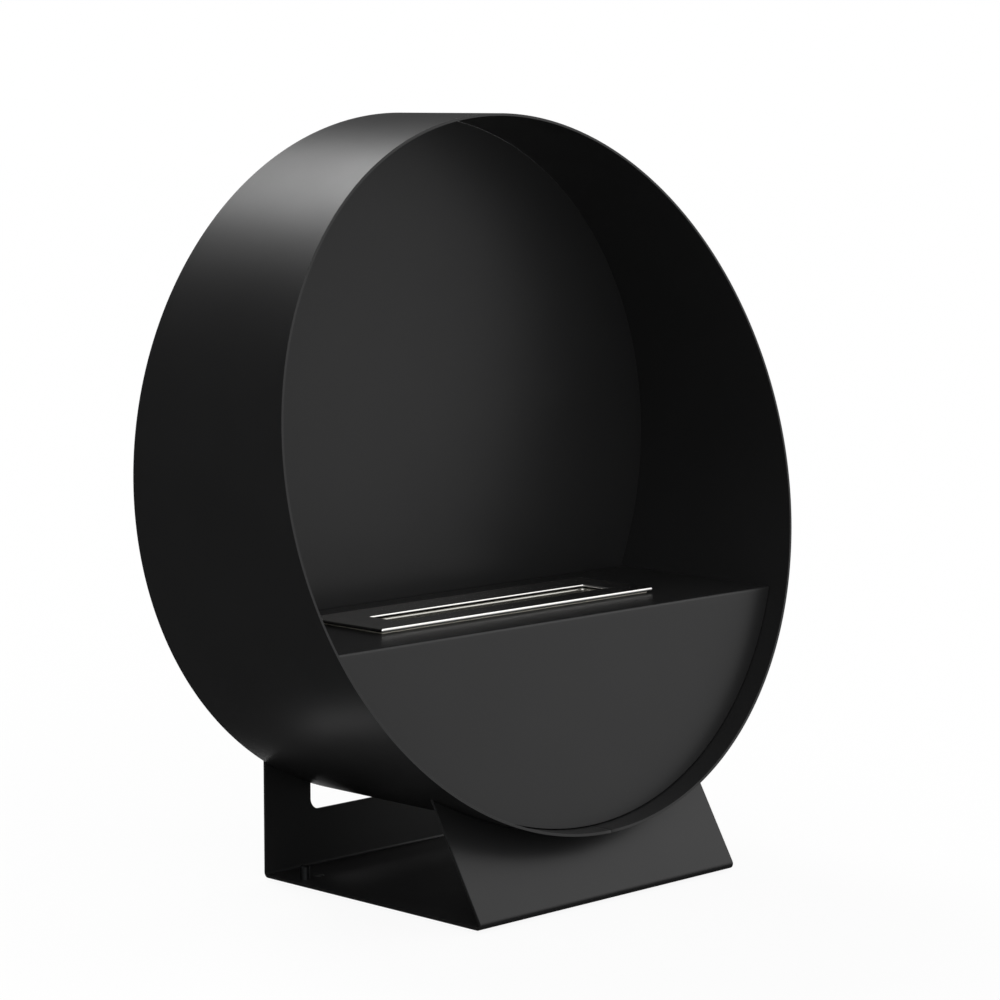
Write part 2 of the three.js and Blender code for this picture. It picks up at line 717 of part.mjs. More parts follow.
function footSolid() {
  const studTop = footPadHeight + seat + standSheet + footStudRise;
  const profile = [
    [0, 0],
    [footPadRadius - footChamfer, 0],
    [footPadRadius, footChamfer],
    [footPadRadius, footPadHeight],
    [footStudRadius, footPadHeight],
    [footStudRadius, studTop - footChamfer],
    [footStudRadius - footChamfer, studTop],
    [0, studTop],
  ].map(([x, y]) => new THREE.Vector2(x, y));
  const geometry = new THREE.LatheGeometry(profile, 2 * roundFacets);
  return toSolid(geometry.rotateX(Math.PI / 2));
}

// A push-in plug, drawn from the face of its head that lies on the base.
function plugSolid() {
  const shankRadius = fixingHoleRadius - plugClearance;
  const shankEnd = -(seat + standSheet + plugStickOut);
  const profile = [
    [0, shankEnd],
    [shankRadius - plugClearance, shankEnd],
    [shankRadius, shankEnd + plugClearance],
    [shankRadius, 0],
    [plugHeadRadius, 0],
    [plugHeadRadius, 0.5 * plugHeadHeight],
    [plugHeadRadius - 0.5 * plugHeadHeight, plugHeadHeight],
    [0, plugHeadHeight],
  ].map(([x, y]) => new THREE.Vector2(x, y));
  const geometry = new THREE.LatheGeometry(profile, roundFacets);
  return toSolid(geometry.rotateX(Math.PI / 2));
}

for (const [name, x, y, sign] of footPlaces) {
  const foot = place(fireplace, `foot_${name}`, footSolid(), blackZinc);
  foot.position.set(x, y, floor);
  const plug = place(housing, `base_plug_${name}`, plugSolid(), blackPlastic);
  plug.position.set(x - sign * fixingHoleStep, y, baseTop + seat);
}

// ---- Burner: drawn round the plate's middle, with z = 0 at the shelf's top -----------------------------

const gasketTop = seat + gasketSheet;
const boxFlangeTop = gasketTop + seat + burnerSheet;
const tankFlangeTop = boxFlangeTop + seat + burnerSheet;
const flangeLength = plateLength - 2 * flangeInset;
const flangeWidth = plateWidth - 2 * flangeInset;
const tankBottom = tankFlangeTop - tankDepth;

// The tank's inner outline, widened on each side by a margin.
function tankOutline(margin) {
  const length = tankLength + 2 * margin;
  const width = tankWidth + 2 * margin;
  return centredRectangle(length, width, tankCorner + margin, slotOffsetX, slotOffsetY);
}

function topPlate() {
  const outline = centredRectangle(plateLength, plateWidth, plateCorner);
  const underside = plateRise - plateSheet;
  const block = alongZ(outline, plateRise - plateRim, plateRise);
  const hollow = alongZ(
    centredRectangle(plateLength - 2 * plateSheet, plateWidth - 2 * plateSheet),
    -overrun,
    underside,
  );
  const slot = alongZ(
    centredRectangle(slotLength, slotWidth, slotCorner, slotOffsetX, slotOffsetY),
    -overrun,
    plateRise + overrun,
  );
  let plate = block.subtract(hollow).subtract(slot);
  const footX = plateLength / 2 - plateFootInset;
  const footY = plateWidth / 2 - plateFootInset;
  for (const [x, y] of [[-footX, -footY], [footX, -footY], [footX, footY], [-footX, footY]]) {
    const bottom = new THREE.Vector3(x, y, tankFlangeTop + seat);
    const top = new THREE.Vector3(x, y, underside + 0.5 * plateSheet);
    plate = plate.add(bar(bottom, top, plateFootRadius));
  }
  return plate;
}

function gasketSolid() {
  const outer = centredRectangle(flangeLength, flangeWidth, plateCorner);
  const inner = centredRectangle(flangeLength - 2 * gasketWidth, flangeWidth - 2 * gasketWidth, plateCorner);
  return alongZ(outer, seat, gasketTop, [inner]);
}

// A pressed tray, as a skin that runs from under its floor up the outside, round the flange and back down
// the inside. The outline at a margin is its inner outline, widened on each side. Between the reach and
// the lip the flange falls by the drop.
function flangedTray({ outlineAt, flangeTop, bottom, lipBend, lipSteps, drop, reach }) {
  const flange = centredRectangle(flangeLength, flangeWidth, plateCorner);
  const flangeUnder = flangeTop - burnerSheet;
  const bend = (margin, z, radius, from, to, steps) => Array.from({ length: steps + 1 }, (_, i) => {
    const angle = rad(from + ((to - from) * i) / steps);
    return [outlineAt(margin + radius * Math.cos(angle)), z + radius * Math.sin(angle)];
  });
  const floorBend = (radius, from, to) => (
    bend(-trayBend, bottom + burnerSheet + trayBend, radius, from, to, 2)
  );
  const lip = (radius, from, to) => (
    bend(lipBend, flangeTop - drop - lipBend, radius, from, to, lipSteps)
  );
  return loft([
    ...floorBend(trayBend + burnerSheet, -90, 0),
    ...lip(lipBend - burnerSheet, 180, 90),
    [outlineAt(reach), flangeUnder],
    [flange, flangeUnder],
    [flange, flangeTop],
    [outlineAt(reach), flangeTop],
    ...lip(lipBend, 90, 180),
    ...floorBend(trayBend, 0, -90),
  ]);
}

function burnerBox() {
  const insideLength = boxLength - 2 * burnerSheet;
  const insideWidth = boxWidth - 2 * burnerSheet;
  const insideCorner = boxCorner - burnerSheet;
  return flangedTray({
    outlineAt: (margin) => (
      centredRectangle(insideLength + 2 * margin, insideWidth + 2 * margin, insideCorner + margin)
    ),
    flangeTop: boxFlangeTop,
    bottom: tankBottom - boxUnderAir - burnerSheet,
    lipBend: boxLipBend,
    lipSteps: 2,
    drop: 0,
    reach: 2 * boxLipBend,
  });
}

function fuelTank() {
  return flangedTray({
    outlineAt: tankOutline,
    flangeTop: tankFlangeTop,
    bottom: tankBottom,
    lipBend: tankLipBend,
    lipSteps: 5,
    drop: tankLipDrop,
    reach: tankLipReach,
  });
}

const padBottom = tankBottom + burnerSheet + seat;
const padTop = padBottom + padHeight;

function ceramicPad() {
  return alongZ(tankOutline(-padClearance), padBottom, padTop);
}

// A perforated sheet over the ceramic: rows of round-ended slots, every other row set over by half a step.
function tankGrate() {
  const outline = tankOutline(-padClearance);
  const halfX = tankLength / 2 - padClearance - grateEdge;
  const halfY = tankWidth / 2 - padClearance - grateEdge;
  const rows = Math.floor((2 * halfY - grateSlotWidth) / gratePitchY) + 1;
  const holes = [];
  for (let row = 0; row < rows; row += 1) {
    const y = slotOffsetY + (row - (rows - 1) / 2) * gratePitchY;
    const columns = Math.floor((2 * halfX - grateSlotLength) / gratePitchX) + (row % 2 ? 0 : 1);
    for (let column = 0; column < columns; column += 1) {
      const x = slotOffsetX + (column - (columns - 1) / 2) * gratePitchX;
      const x0 = x - grateSlotLength / 2;
      const y0 = y - grateSlotWidth / 2;
      holes.push(rectangle(x0, y0, x0 + grateSlotLength, y0 + grateSlotWidth, grateSlotCorner, 1));
    }
  }
  return alongZ(outline, padTop + seat, padTop + seat + grateSheet, holes);
}

place(burner, 'burner_top_plate', topPlate(), stainless);
place(burner, 'burner_gasket', gasketSolid(), glassFibre);
place(burner, 'burner_box', burnerBox(), stainless);
place(burner, 'fuel_tank', fuelTank(), stainless);
place(burner, 'ceramic_pad', ceramicPad(), ceramic);
place(burner, 'tank_grate', tankGrate(), stainless);

// ---- Setting down -----------------------------------------------------------------------------------

fireplace.updateMatrixWorld(true);
const reach = new THREE.Box3().setFromObject(fireplace, true);
fireplace.position.set(0, -(reach.min.y + reach.max.y) / 2, -floor);

export default fireplace;
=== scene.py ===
# %% [markdown]
# # A round bioethanol fireplace, finished in Blender
#
# The object is a drum of rolled steel with a slanted mouth. It stands on one folded sheet, and a second
# folded sheet inside it makes a front panel and a shelf that holds a stainless burner. The engineering model
# is already there as a fixed frame: its nodes have the true sizes and places. What it lacks is the look of
# the real thing, such as a round that stays round close up, cut edges that catch the light, threads, and a
# powder coat. So each visible part is modelled again around that frame, finer, and in the same place.

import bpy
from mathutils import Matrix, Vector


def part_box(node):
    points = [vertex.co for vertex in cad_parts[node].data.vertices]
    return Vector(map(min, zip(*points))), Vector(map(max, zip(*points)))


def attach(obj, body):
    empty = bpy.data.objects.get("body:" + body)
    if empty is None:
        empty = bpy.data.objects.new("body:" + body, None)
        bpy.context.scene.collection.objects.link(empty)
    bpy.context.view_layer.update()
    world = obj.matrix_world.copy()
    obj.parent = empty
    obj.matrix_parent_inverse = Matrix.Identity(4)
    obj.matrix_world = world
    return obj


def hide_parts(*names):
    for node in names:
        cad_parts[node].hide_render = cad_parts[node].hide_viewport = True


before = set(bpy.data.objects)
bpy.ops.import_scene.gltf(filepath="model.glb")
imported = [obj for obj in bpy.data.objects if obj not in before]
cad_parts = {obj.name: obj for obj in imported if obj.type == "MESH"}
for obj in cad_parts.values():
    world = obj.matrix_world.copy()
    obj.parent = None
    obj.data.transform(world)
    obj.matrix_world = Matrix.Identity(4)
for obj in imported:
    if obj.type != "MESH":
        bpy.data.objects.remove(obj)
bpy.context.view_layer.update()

# %% Modules and units
from math import cos, pi, radians, sin, sqrt, tan

import bmesh
import bpy
from mathutils import Matrix, Vector

MM = 0.001
AXIS_Y = Vector((0, 1, 0))
AXIS_Z = Vector((0, 0, 1))
SAME = 0.001 * MM  # vertices closer than this are one
NEAR = 0.1 * MM  # within this a vertex counts as lying on a face
OVERCUT = 20 * MM  # that a cutting tool reaches past what it cuts
scene = bpy.context.scene

# %% [markdown]
# ## The drum's own measures
# Most sizes can be read from the frame, so they follow it when the model changes. Only what a box can't tell,
# such as sheet thickness and angles, is written here as a real size. The mouth is one straight slanted cut,
# so a point on it moves back as it rises, by the tangent of the lean.

# %% Drum measures
shell_low, shell_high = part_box("drum_shell")
DRUM_RADIUS = (shell_high.x - shell_low.x) / 2
DRUM_SHEET = 3 * MM
DRUM_INSIDE = DRUM_RADIUS - DRUM_SHEET
DRUM_Z = (shell_high.z + shell_low.z) / 2
DRUM_BACK = shell_high.y
MOUTH_LEAN = radians(12.66)
MOUTH_Y = shell_low.y + DRUM_RADIUS * tan(MOUTH_LEAN)
ROUND = 384  # facets of a full turn, about 6.5 mm each on the drum
DOWN = radians(-90)  # the drum's lowest point, as an angle from +X towards +Z


def on_drum(radius, angle, y=0.0):
    """A point at a radius and an angle round the drum's axis."""
    return Vector((radius * cos(angle), y, DRUM_Z + radius * sin(angle)))


def middle(node):
    """The middle of a node's box."""
    low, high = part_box(node)
    return (low + high) / 2


print(f"drum radius {DRUM_RADIUS:.4f} m, axis at z {DRUM_Z:.4f}, mouth crosses it at y {MOUTH_Y:.4f}")

# %% [markdown]
# ## The powder coat
# Satin black powder coat is a thick skin of molten plastic. It is nearly black, with a soft gloss, and its
# surface has a fine waviness that painters call orange peel. Two things sell it: the waviness, as a low
# bump, and a gloss that differs a little from place to place. Both are used by several finishes, so each
# is a node group with its own inputs. The groups put out values only, and the shader stays in the material.

# %% Node helpers


def new_group(name, inputs, outputs):
    """A shader node group of float sockets, its first and last node, and its object coordinates."""
    group = bpy.data.node_groups.new(name, "ShaderNodeTree")
    for label, value in inputs.items():
        socket = group.interface.new_socket(name=label, in_out="INPUT", socket_type="NodeSocketFloat")
        socket.default_value = value
    for label in outputs:
        group.interface.new_socket(name=label, in_out="OUTPUT", socket_type="NodeSocketFloat")
    entry = group.nodes.new("NodeGroupInput")
    leave = group.nodes.new("NodeGroupOutput")
    place = group.nodes.new("ShaderNodeTexCoord")
    return group, entry, leave, place.outputs["Object"]


def math_node(tree, operation, first, second=0.5, clamp=False):
    """A math node. A value that is a socket is linked, and a number is set."""
    node = tree.nodes.new("ShaderNodeMath")
    node.operation = operation
    node.use_clamp = clamp
    for slot, value in enumerate((first, second)):
        if isinstance(value, bpy.types.NodeSocket):
            tree.links.new(value, node.inputs[slot])
        else:
            node.inputs[slot].default_value = value
    return node.outputs[0]


def noise(tree, vector, scale, detail=2.0, roughness=0.5):
    """A noise texture's value. The scale is in waves per metre, as the coordinates are in metres."""
    node = tree.nodes.new("ShaderNodeTexNoise")
    node.inputs["Detail"].default_value = detail
    node.inputs["Roughness"].default_value = roughness
    tree.links.new(vector, node.inputs["Vector"])
    if isinstance(scale, bpy.types.NodeSocket):
        tree.links.new(scale, node.inputs["Scale"])
    else:
        node.inputs["Scale"].default_value = scale
    return node.outputs["Fac"]


# %% Group: orange peel
peel, entry, leave, place = new_group("Orange peel", {"Waves per metre": 420.0}, ["Height"])
broad = noise(peel, place, entry.outputs["Waves per metre"], detail=1.0)
double = math_node(peel, "MULTIPLY", entry.outputs["Waves per metre"], 2.6)
fine = noise(peel, place, double, detail=1.0)
fine = math_node(peel, "MULTIPLY", fine, 0.3)
peel.links.new(math_node(peel, "ADD", broad, fine), leave.inputs["Height"])
print("group", peel.name, "with", len(peel.nodes), "nodes")

# %% Group: uneven gloss
gloss, entry, leave, place = new_group(
    "Uneven gloss", {"Middle": 0.35, "Swing": 0.06, "Waves per metre": 14.0}, ["Roughness"]
)
cloud = noise(gloss, place, entry.outputs["Waves per metre"], detail=4.0, roughness=0.6)
cloud = math_node(gloss, "SUBTRACT", cloud, 0.5)
cloud = math_node(gloss, "MULTIPLY", cloud, entry.outputs["Swing"])
gloss.links.new(math_node(gloss, "ADD", cloud, entry.outputs["Middle"]), leave.inputs["Roughness"])

# %% [markdown]
# ## Brushed steel
# The burner is brushed stainless steel: a belt has drawn thousands of fine parallel scratches along it. In
# nodes that is a noise stretched a few hundred times along the brushing. It drives the bump and the gloss,
# so that highlights smear across the grain as they do on the real sheet.

# %% Group: brushed grain
brush, entry, leave, place = new_group("Brushed grain", {"Strokes per metre": 2600.0}, ["Height"])
stretch = brush.nodes.new("ShaderNodeVectorMath")
stretch.operation = "MULTIPLY"
stretch.inputs[1].default_value = (0.012, 1.0, 1.0)
brush.links.new(place, stretch.inputs[0])
scratches = entry.outputs["Strokes per metre"]
strokes = noise(brush, stretch.outputs["Vector"], scratches, detail=3.0, roughness=0.65)
brush.links.new(strokes, leave.inputs["Height"])

# %% Group: woven strip
weave, entry, leave, place = new_group("Plain weave", {"Threads per metre": 900.0}, ["Height"])
split = weave.nodes.new("ShaderNodeSeparateXYZ")
weave.links.new(place, split.inputs[0])
turns = math_node(weave, "MULTIPLY", entry.outputs["Threads per metre"], pi)
warp = math_node(weave, "SINE", math_node(weave, "MULTIPLY", split.outputs["X"], turns))
weft = math_node(weave, "SINE", math_node(weave, "MULTIPLY", split.outputs["Y"], turns))
crossing = math_node(weave, "MULTIPLY", warp, weft)
weave.links.new(math_node(weave, "ADD", crossing, 1.0), leave.inputs["Height"])
print("groups:", [group.name for group in bpy.data.node_groups])

# %% [markdown]
# ## From groups to finishes
# A finish is one Principled shader with the groups plugged in. Its uniform values, such as the metalness or
# the specular level, sit directly on the sockets. The black is not zero: even carbon black sends back a
# little light, and a pure zero looks like a hole.

# %% Finish helper


def use_group(material, group, **values):
    """Places a node group in a material and sets its inputs, named with _ for a blank."""
    node = material.node_tree.nodes.new("ShaderNodeGroup")
    node.node_tree = group
    for label, value in values.items():
        node.inputs[label.replace("_", " ")].default_value = value
    return node.outputs[0]


def new_finish(name, color, metallic=0.0, specular=0.5):
    """A material with a Principled shader whose uniform values are set. Returns both."""
    material = bpy.data.materials.new(name)
    material.use_nodes = True
    shader = material.node_tree.nodes["Principled BSDF"]
    shader.inputs["Base Color"].default_value = (*color, 1.0)
    shader.inputs["Metallic"].default_value = metallic
    shader.inputs["Specular IOR Level"].default_value = specular
    return material, shader


def add_gloss(material, shader, middle, swing, waves=14.0):
    """Feeds an uneven gloss to the shader's roughness."""
    roughness = use_group(material, gloss, Middle=middle, Swing=swing, Waves_per_metre=waves)
    material.node_tree.links.new(roughness, shader.inputs["Roughness"])


def add_bump(material, shader, height, strength, depth):
    """Feeds a height to the shader's normal. The depth is in metres."""
    bump = material.node_tree.nodes.new("ShaderNodeBump")
    bump.inputs["Strength"].default_value = strength
    bump.inputs["Distance"].default_value = depth
    material.node_tree.links.new(height, bump.inputs["Height"])
    material.node_tree.links.new(bump.outputs["Normal"], shader.inputs["Normal"])


def add_colors(material, shader, value, dark, light):
    """Lets a value run the base colour from dark to light."""
    ramp = material.node_tree.nodes.new("ShaderNodeValToRGB")
    ramp.color_ramp.elements[0].color = (*dark, 1.0)
    ramp.color_ramp.elements[1].color = (*light, 1.0)
    ramp.color_ramp.elements[0].position = 0.3
    ramp.color_ramp.elements[1].position = 0.7
    material.node_tree.links.new(value, ramp.inputs["Fac"])
    material.node_tree.links.new(ramp.outputs["Color"], shader.inputs["Base Color"])


# %% Black powder coat
black_coat, shader = new_finish("black powder coat", (0.0086, 0.0086, 0.0088), specular=0.28)
add_gloss(black_coat, shader, middle=0.37, swing=0.06)
coordinates = black_coat.node_tree.nodes.new("ShaderNodeTexCoord")
tone = noise(black_coat.node_tree, coordinates.outputs["Object"], 9.0)
add_colors(black_coat, shader, tone, (0.0081, 0.0081, 0.0083), (0.0091, 0.0091, 0.0093))
add_bump(black_coat, shader, use_group(black_coat, peel), strength=0.25, depth=0.04 * MM)

# %% Brushed stainless steel and zinc plate
stainless, shader = new_finish("brushed stainless steel", (0.70, 0.69, 0.67), metallic=1.0)
add_gloss(stainless, shader, middle=0.15, swing=0.06)
add_bump(stainless, shader, use_group(stainless, brush), strength=0.12, depth=0.02 * MM)

# A darker copy of the brushed stainless steel is painted shade: the burner's tank, box and grate lie in the
# slot, in shade under the plate, and the darker colour stands in for that shade.
shaded_steel, shader = new_finish("stainless steel darkened for painted shade", (0.46, 0.45, 0.42), metallic=1.0)
add_gloss(shaded_steel, shader, middle=0.26, swing=0.1)
add_bump(shaded_steel, shader, use_group(shaded_steel, brush), strength=0.15, depth=0.02 * MM)

zinc_plate, shader = new_finish("bright zinc plate", (0.42, 0.43, 0.44), metallic=1.0)
add_gloss(zinc_plate, shader, middle=0.34, swing=0.16, waves=260.0)
grain = use_group(zinc_plate, peel, Waves_per_metre=1500.0)
add_bump(zinc_plate, shader, grain, strength=0.3, depth=0.01 * MM)

black_zinc, shader = new_finish("black zinc plate", (0.026, 0.027, 0.028), metallic=1.0)
add_gloss(black_zinc, shader, middle=0.4, swing=0.1, waves=260.0)
grain = use_group(black_zinc, peel, Waves_per_metre=1500.0)
add_bump(black_zinc, shader, grain, strength=0.3, depth=0.01 * MM)

# %% Plastic, glass fibre and ceramic felt
black_plastic, shader = new_finish("moulded black plastic", (0.008, 0.008, 0.008), specular=0.4)
add_gloss(black_plastic, shader, middle=0.5, swing=0.1)
grain = use_group(black_plastic, peel, Waves_per_metre=2400.0)
add_bump(black_plastic, shader, grain, strength=0.3, depth=0.03 * MM)

glass_fibre, shader = new_finish("woven glass fibre", (0.66, 0.63, 0.55), specular=0.3)
add_gloss(glass_fibre, shader, middle=0.85, swing=0.1)
add_bump(glass_fibre, shader, use_group(glass_fibre, weave), strength=0.8, depth=0.2 * MM)

ceramic_felt, shader = new_finish("ceramic fibre felt", (0.80, 0.77, 0.69), specular=0.2)
add_gloss(ceramic_felt, shader, middle=0.92, swing=0.06)
fibres = use_group(ceramic_felt, peel, Waves_per_metre=700.0)
add_bump(ceramic_felt, shader, fibres, strength=0.9, depth=0.4 * MM)
print("finishes:", [material.name for material in bpy.data.materials])

# %% [markdown]
# ## Turning a bmesh into a piece
# Every piece goes the same way: its mesh is built in place with bmesh operators, shaded smooth with crisp
# edges kept, given a small bevel where it asks for one, and then hung on the body it rides on, given its
# finish, and put in place of the node it stands for, which is hidden. The bevel matters most on sheet metal.
# A cut steel edge under powder coat is never knife sharp, and its rounding draws the thin light line that
# makes a sheet look real. Harden Normals keeps the broad faces flat beside that bevel.

# %% Piece helper
CRISP_FROM = radians(30)  # edges that turn by more are shaded as edges
BEVEL_FROM = radians(32)  # and those that turn by more than this are bevelled


def finish_piece(bm, name, node, body, material, bevel=0.0):
    """Makes the bmesh an object at the origin on its body, with its finish, and hides the node it replaces.
    """
    mesh = bpy.data.meshes.new(name)
    bm.to_mesh(mesh)
    bm.free()
    mesh.shade_smooth()
    mesh.set_sharp_from_angle(angle=CRISP_FROM)
    mesh.materials.append(material)
    piece = bpy.data.objects.new(name, mesh)
    scene.collection.objects.link(piece)
    if bevel:
        rounding = piece.modifiers.new("Rounded edges", "BEVEL")
        rounding.width = bevel
        rounding.segments = 2
        rounding.limit_method = "ANGLE"
        rounding.angle_limit = BEVEL_FROM
        rounding.harden_normals = True
        rounding.use_clamp_overlap = True
    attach(piece, body)
    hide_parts(node)
    return piece


def whole(bm):
    """All of a bmesh's parts, as the operators that cut it want them."""
    return list(bm.verts) + list(bm.edges) + list(bm.faces)


def vertices_of(parts):
    """The vertices among the parts that an operator made."""
    return [part for part in parts if isinstance(part, bmesh.types.BMVert)]


def bend_edges(bm, edges, radius, segments):
    """Rounds edges of a bmesh with the bevel operator."""
    bmesh.ops.bevel(
        bm, geom=edges, offset=radius, segments=segments, profile=0.5, affect="EDGES", material=-1
    )


def carve(solid, tool, operation="DIFFERENCE"):
    """Cuts one bmesh by another with a Boolean modifier, and returns the result as a new bmesh."""
    made = []
    for bm in (solid, tool):
        mesh = bpy.data.meshes.new("carving")
        bm.to_mesh(mesh)
        bm.free()
        made.append(bpy.data.objects.new("carving", mesh))
        scene.collection.objects.link(made[-1])
    cut = made[0].modifiers.new("Cut", "BOOLEAN")
    cut.solver = "EXACT"
    cut.operation = operation
    cut.object = made[1]
    bpy.context.view_layer.update()
    result = bmesh.new()
    result.from_mesh(made[0].evaluated_get(bpy.context.evaluated_depsgraph_get()).to_mesh())
    for helper in made:
        bpy.data.objects.remove(helper)
    return result


# %% [markdown]
# ## The rolled drum
# The real drum starts as one long strip, rolled until its ends meet and welded along one line. Spinning the
# strip's section round the axis gives the same closed ring. The mouth is then one straight cut: a plane
# bisects the ring, and the two open edges are bridged to give the cut sheet its thickness back. With 384
# facets the outline stays round at any distance that a viewer would choose.

# %% Spin and cut the drum


def spun_ring(inside, outside, y0, y1, facets=ROUND):
    """A ring about the drum's axis, spun from the rectangle that is its section."""
    bm = bmesh.new()
    outline = ((inside, y0), (outside, y0), (outside, y1), (inside, y1))
    corners = [bm.verts.new((radius, y, DRUM_Z)) for radius, y in outline]
    section = corners + [bm.edges.new((corners[i], corners[(i + 1) % 4])) for i in range(4)]
    axis_point = (0, 0, DRUM_Z)
    bmesh.ops.spin(
        bm, geom=section, cent=axis_point, axis=AXIS_Y, angle=2 * pi, steps=facets, use_merge=True
    )
    bmesh.ops.recalc_face_normals(bm, faces=bm.faces)
    return bm


def open_edges(bm):
    """The edges round the openings of a surface."""
    return [edge for edge in bm.edges if len(edge.link_faces) == 1]


drum = spun_ring(DRUM_INSIDE, DRUM_RADIUS, shell_low.y - OVERCUT, DRUM_BACK)
mouth_normal = Vector((0, 1, -tan(MOUTH_LEAN))).normalized()
bmesh.ops.bisect_plane(
    drum, geom=whole(drum), plane_co=(0, MOUTH_Y, DRUM_Z), plane_no=mouth_normal, clear_inner=True
)
bmesh.ops.bridge_loops(drum, edges=open_edges(drum))
bmesh.ops.recalc_face_normals(drum, faces=drum.faces)
print("drum:", len(drum.faces), "faces, mouth rim at y", round(min(v.co.y for v in drum.verts), 4))

# %% [markdown]
# ## The weld line
# Where the strip's ends meet, at the drum's lowest point, the weld is ground flush. What stays is a line that
# can just be felt, and on the rim it shows as a tiny nick in the light edge. The facet edge there is bevelled
# into a narrow band. The band's middle is sunk by a third of a millimetre, and filed back at the mouth.

# %% Sink the weld line
SEAM_WIDTH = 1.8 * MM
SEAM_DEPTH = 0.35 * MM
SEAM_NICK = 2.0 * MM
SHORTEST_SEAM = 50 * MM  # longer than the mouth rim's own edges


def on_seam(vertex, reach):
    """Whether a vertex lies within a distance of the plane through the drum's lowest line."""
    return abs(vertex.co.x) < reach and vertex.co.z < DRUM_Z


seam_edges = [
    edge
    for edge in drum.edges
    if all(on_seam(vertex, NEAR) for vertex in edge.verts)
    and abs(edge.verts[0].co.y - edge.verts[1].co.y) > SHORTEST_SEAM
]
bend_edges(drum, seam_edges, SEAM_WIDTH / 2, 2)
seam_line = [vertex for vertex in drum.verts if on_seam(vertex, NEAR)]
mouth_end = min(vertex.co.y for vertex in seam_line)
for vertex in seam_line:
    outer_wall = DRUM_Z - vertex.co.z > DRUM_RADIUS - DRUM_SHEET / 2
    vertex.co.z += SEAM_DEPTH if outer_wall else -SEAM_DEPTH
    at_mouth = vertex.co.y < mouth_end + DRUM_SHEET * tan(MOUTH_LEAN) + NEAR
    if at_mouth:
        vertex.co.y += SEAM_NICK
finish_piece(drum, "rolled_drum", "drum_shell", "housing", black_coat, bevel=0.5 * MM)
print("weld line on", len(seam_edges), "edges and", len(seam_line), "vertices")

# %% [markdown]
# ## Threads and fasteners
# Nuts, bolts and studs are small, but bare cylinders in their place look wrong at once. A thread is a short
# zigzag, the section of one pitch, that turns round the axis while it climbs: the spin operator does both
# when it is given a climb per step. Neighbouring turns share their edges, so merging doubles closes the
# surface, and two planes trim it to length.

# %% Threaded rod
THREAD_CHAMFER = 0.4 * MM


def threaded_rod(radius, pitch, length, steps=24):
    """A rod with a helical thread, from the origin along +Z, with a small chamfer at its far end."""
    bm = bmesh.new()
    root = radius - 0.61 * pitch
    section = ((root, 0), (radius, 0.44 * pitch), (radius, 0.56 * pitch), (root, pitch))
    verts = [bm.verts.new((x, 0, z)) for x, z in section]
    edges = [bm.edges.new(pair) for pair in zip(verts, verts[1:])]
    turns = int(length / pitch) + 2
    bmesh.ops.spin(
        bm,
        geom=verts + edges,
        cent=(0, 0, 0),
        axis=AXIS_Z,
        dvec=(0, 0, pitch / steps),
        angle=2 * pi * turns,
        steps=steps * turns,
    )
    bmesh.ops.remove_doubles(bm, verts=bm.verts, dist=SAME)
    bmesh.ops.bisect_plane(bm, geom=whole(bm), plane_co=(0, 0, pitch), plane_no=AXIS_Z, clear_inner=True)
    top = pitch + length - THREAD_CHAMFER
    bmesh.ops.bisect_plane(bm, geom=whole(bm), plane_co=(0, 0, top), plane_no=AXIS_Z, clear_outer=True)
    ends = bmesh.ops.holes_fill(bm, edges=open_edges(bm), sides=0)["faces"]
    bmesh.ops.recalc_face_normals(bm, faces=bm.faces)
    far_end = max(ends, key=lambda face: face.calc_center_median().z)
    bmesh.ops.inset_individual(bm, faces=[far_end], thickness=THREAD_CHAMFER, depth=THREAD_CHAMFER)
    bmesh.ops.translate(bm, verts=bm.verts, vec=(0, 0, -pitch))
    return bm


# %% [markdown]
# A hexagon nut is a slice of hexagon bar whose corners were turned off on a lathe. Making it the same way is
# also the quickest: a hexagon prism is intersected with a round blank that has chamfered ends, which gives
# the curved corner facets for free. A bolt head is the same with one chamfer only. Prism and blank share
# their end faces and corners, so the Boolean's faces, and in some runs its edges, can differ between runs.

# %% Nut and bolt head
HEX_CORNER = 2 / sqrt(3)  # a hexagon's width across corners, over its width across flats


def spun_blank(section, facets=48):
    """A solid of revolution about +Z, from points (radius, height) that start and end on the axis."""
    bm = bmesh.new()
    verts = [bm.verts.new((radius, 0, height)) for radius, height in section]
    edges = [bm.edges.new(pair) for pair in zip(verts, verts[1:])]
    bmesh.ops.spin(
        bm, geom=verts + edges, cent=(0, 0, 0), axis=AXIS_Z, angle=2 * pi, steps=facets, use_merge=True
    )
    bmesh.ops.remove_doubles(bm, verts=bm.verts, dist=SAME)
    bmesh.ops.recalc_face_normals(bm, faces=bm.faces)
    return bm


def hexagon(across_flats, height, chamfer_foot=True):
    """A chamfered hexagon from z 0 up to its height."""
    corner = across_flats * HEX_CORNER / 2
    bm = bmesh.new()
    bmesh.ops.create_circle(bm, cap_ends=True, radius=corner, segments=6)
    top = bmesh.ops.extrude_face_region(bm, geom=list(bm.faces))["geom"]
    bmesh.ops.translate(bm, verts=vertices_of(top), vec=(0, 0, height))
    bmesh.ops.recalc_face_normals(bm, faces=bm.faces)
    rim = 0.475 * across_flats
    drop = (corner - rim) * tan(radians(30))
    foot = [(0, 0), (rim, 0), (corner, drop)] if chamfer_foot else [(0, 0), (corner, 0)]
    blank = spun_blank([*foot, (corner, height - drop), (rim, height), (0, height)])
    return carve(bm, blank, "INTERSECT")


def hexagon_nut(across_flats, height, bore):
    """A nut: a chamfered hexagon with its bore, which is countersunk a little at both faces."""
    sink = 0.5 * MM
    lower = [(0, -sink), (bore + sink, -sink), (bore + sink, 0), (bore, sink)]
    upper = [(bore, height - sink), (bore + sink, height), (bore + sink, height + sink), (0, height + sink)]
    return carve(hexagon(across_flats, height), spun_blank(lower + upper))


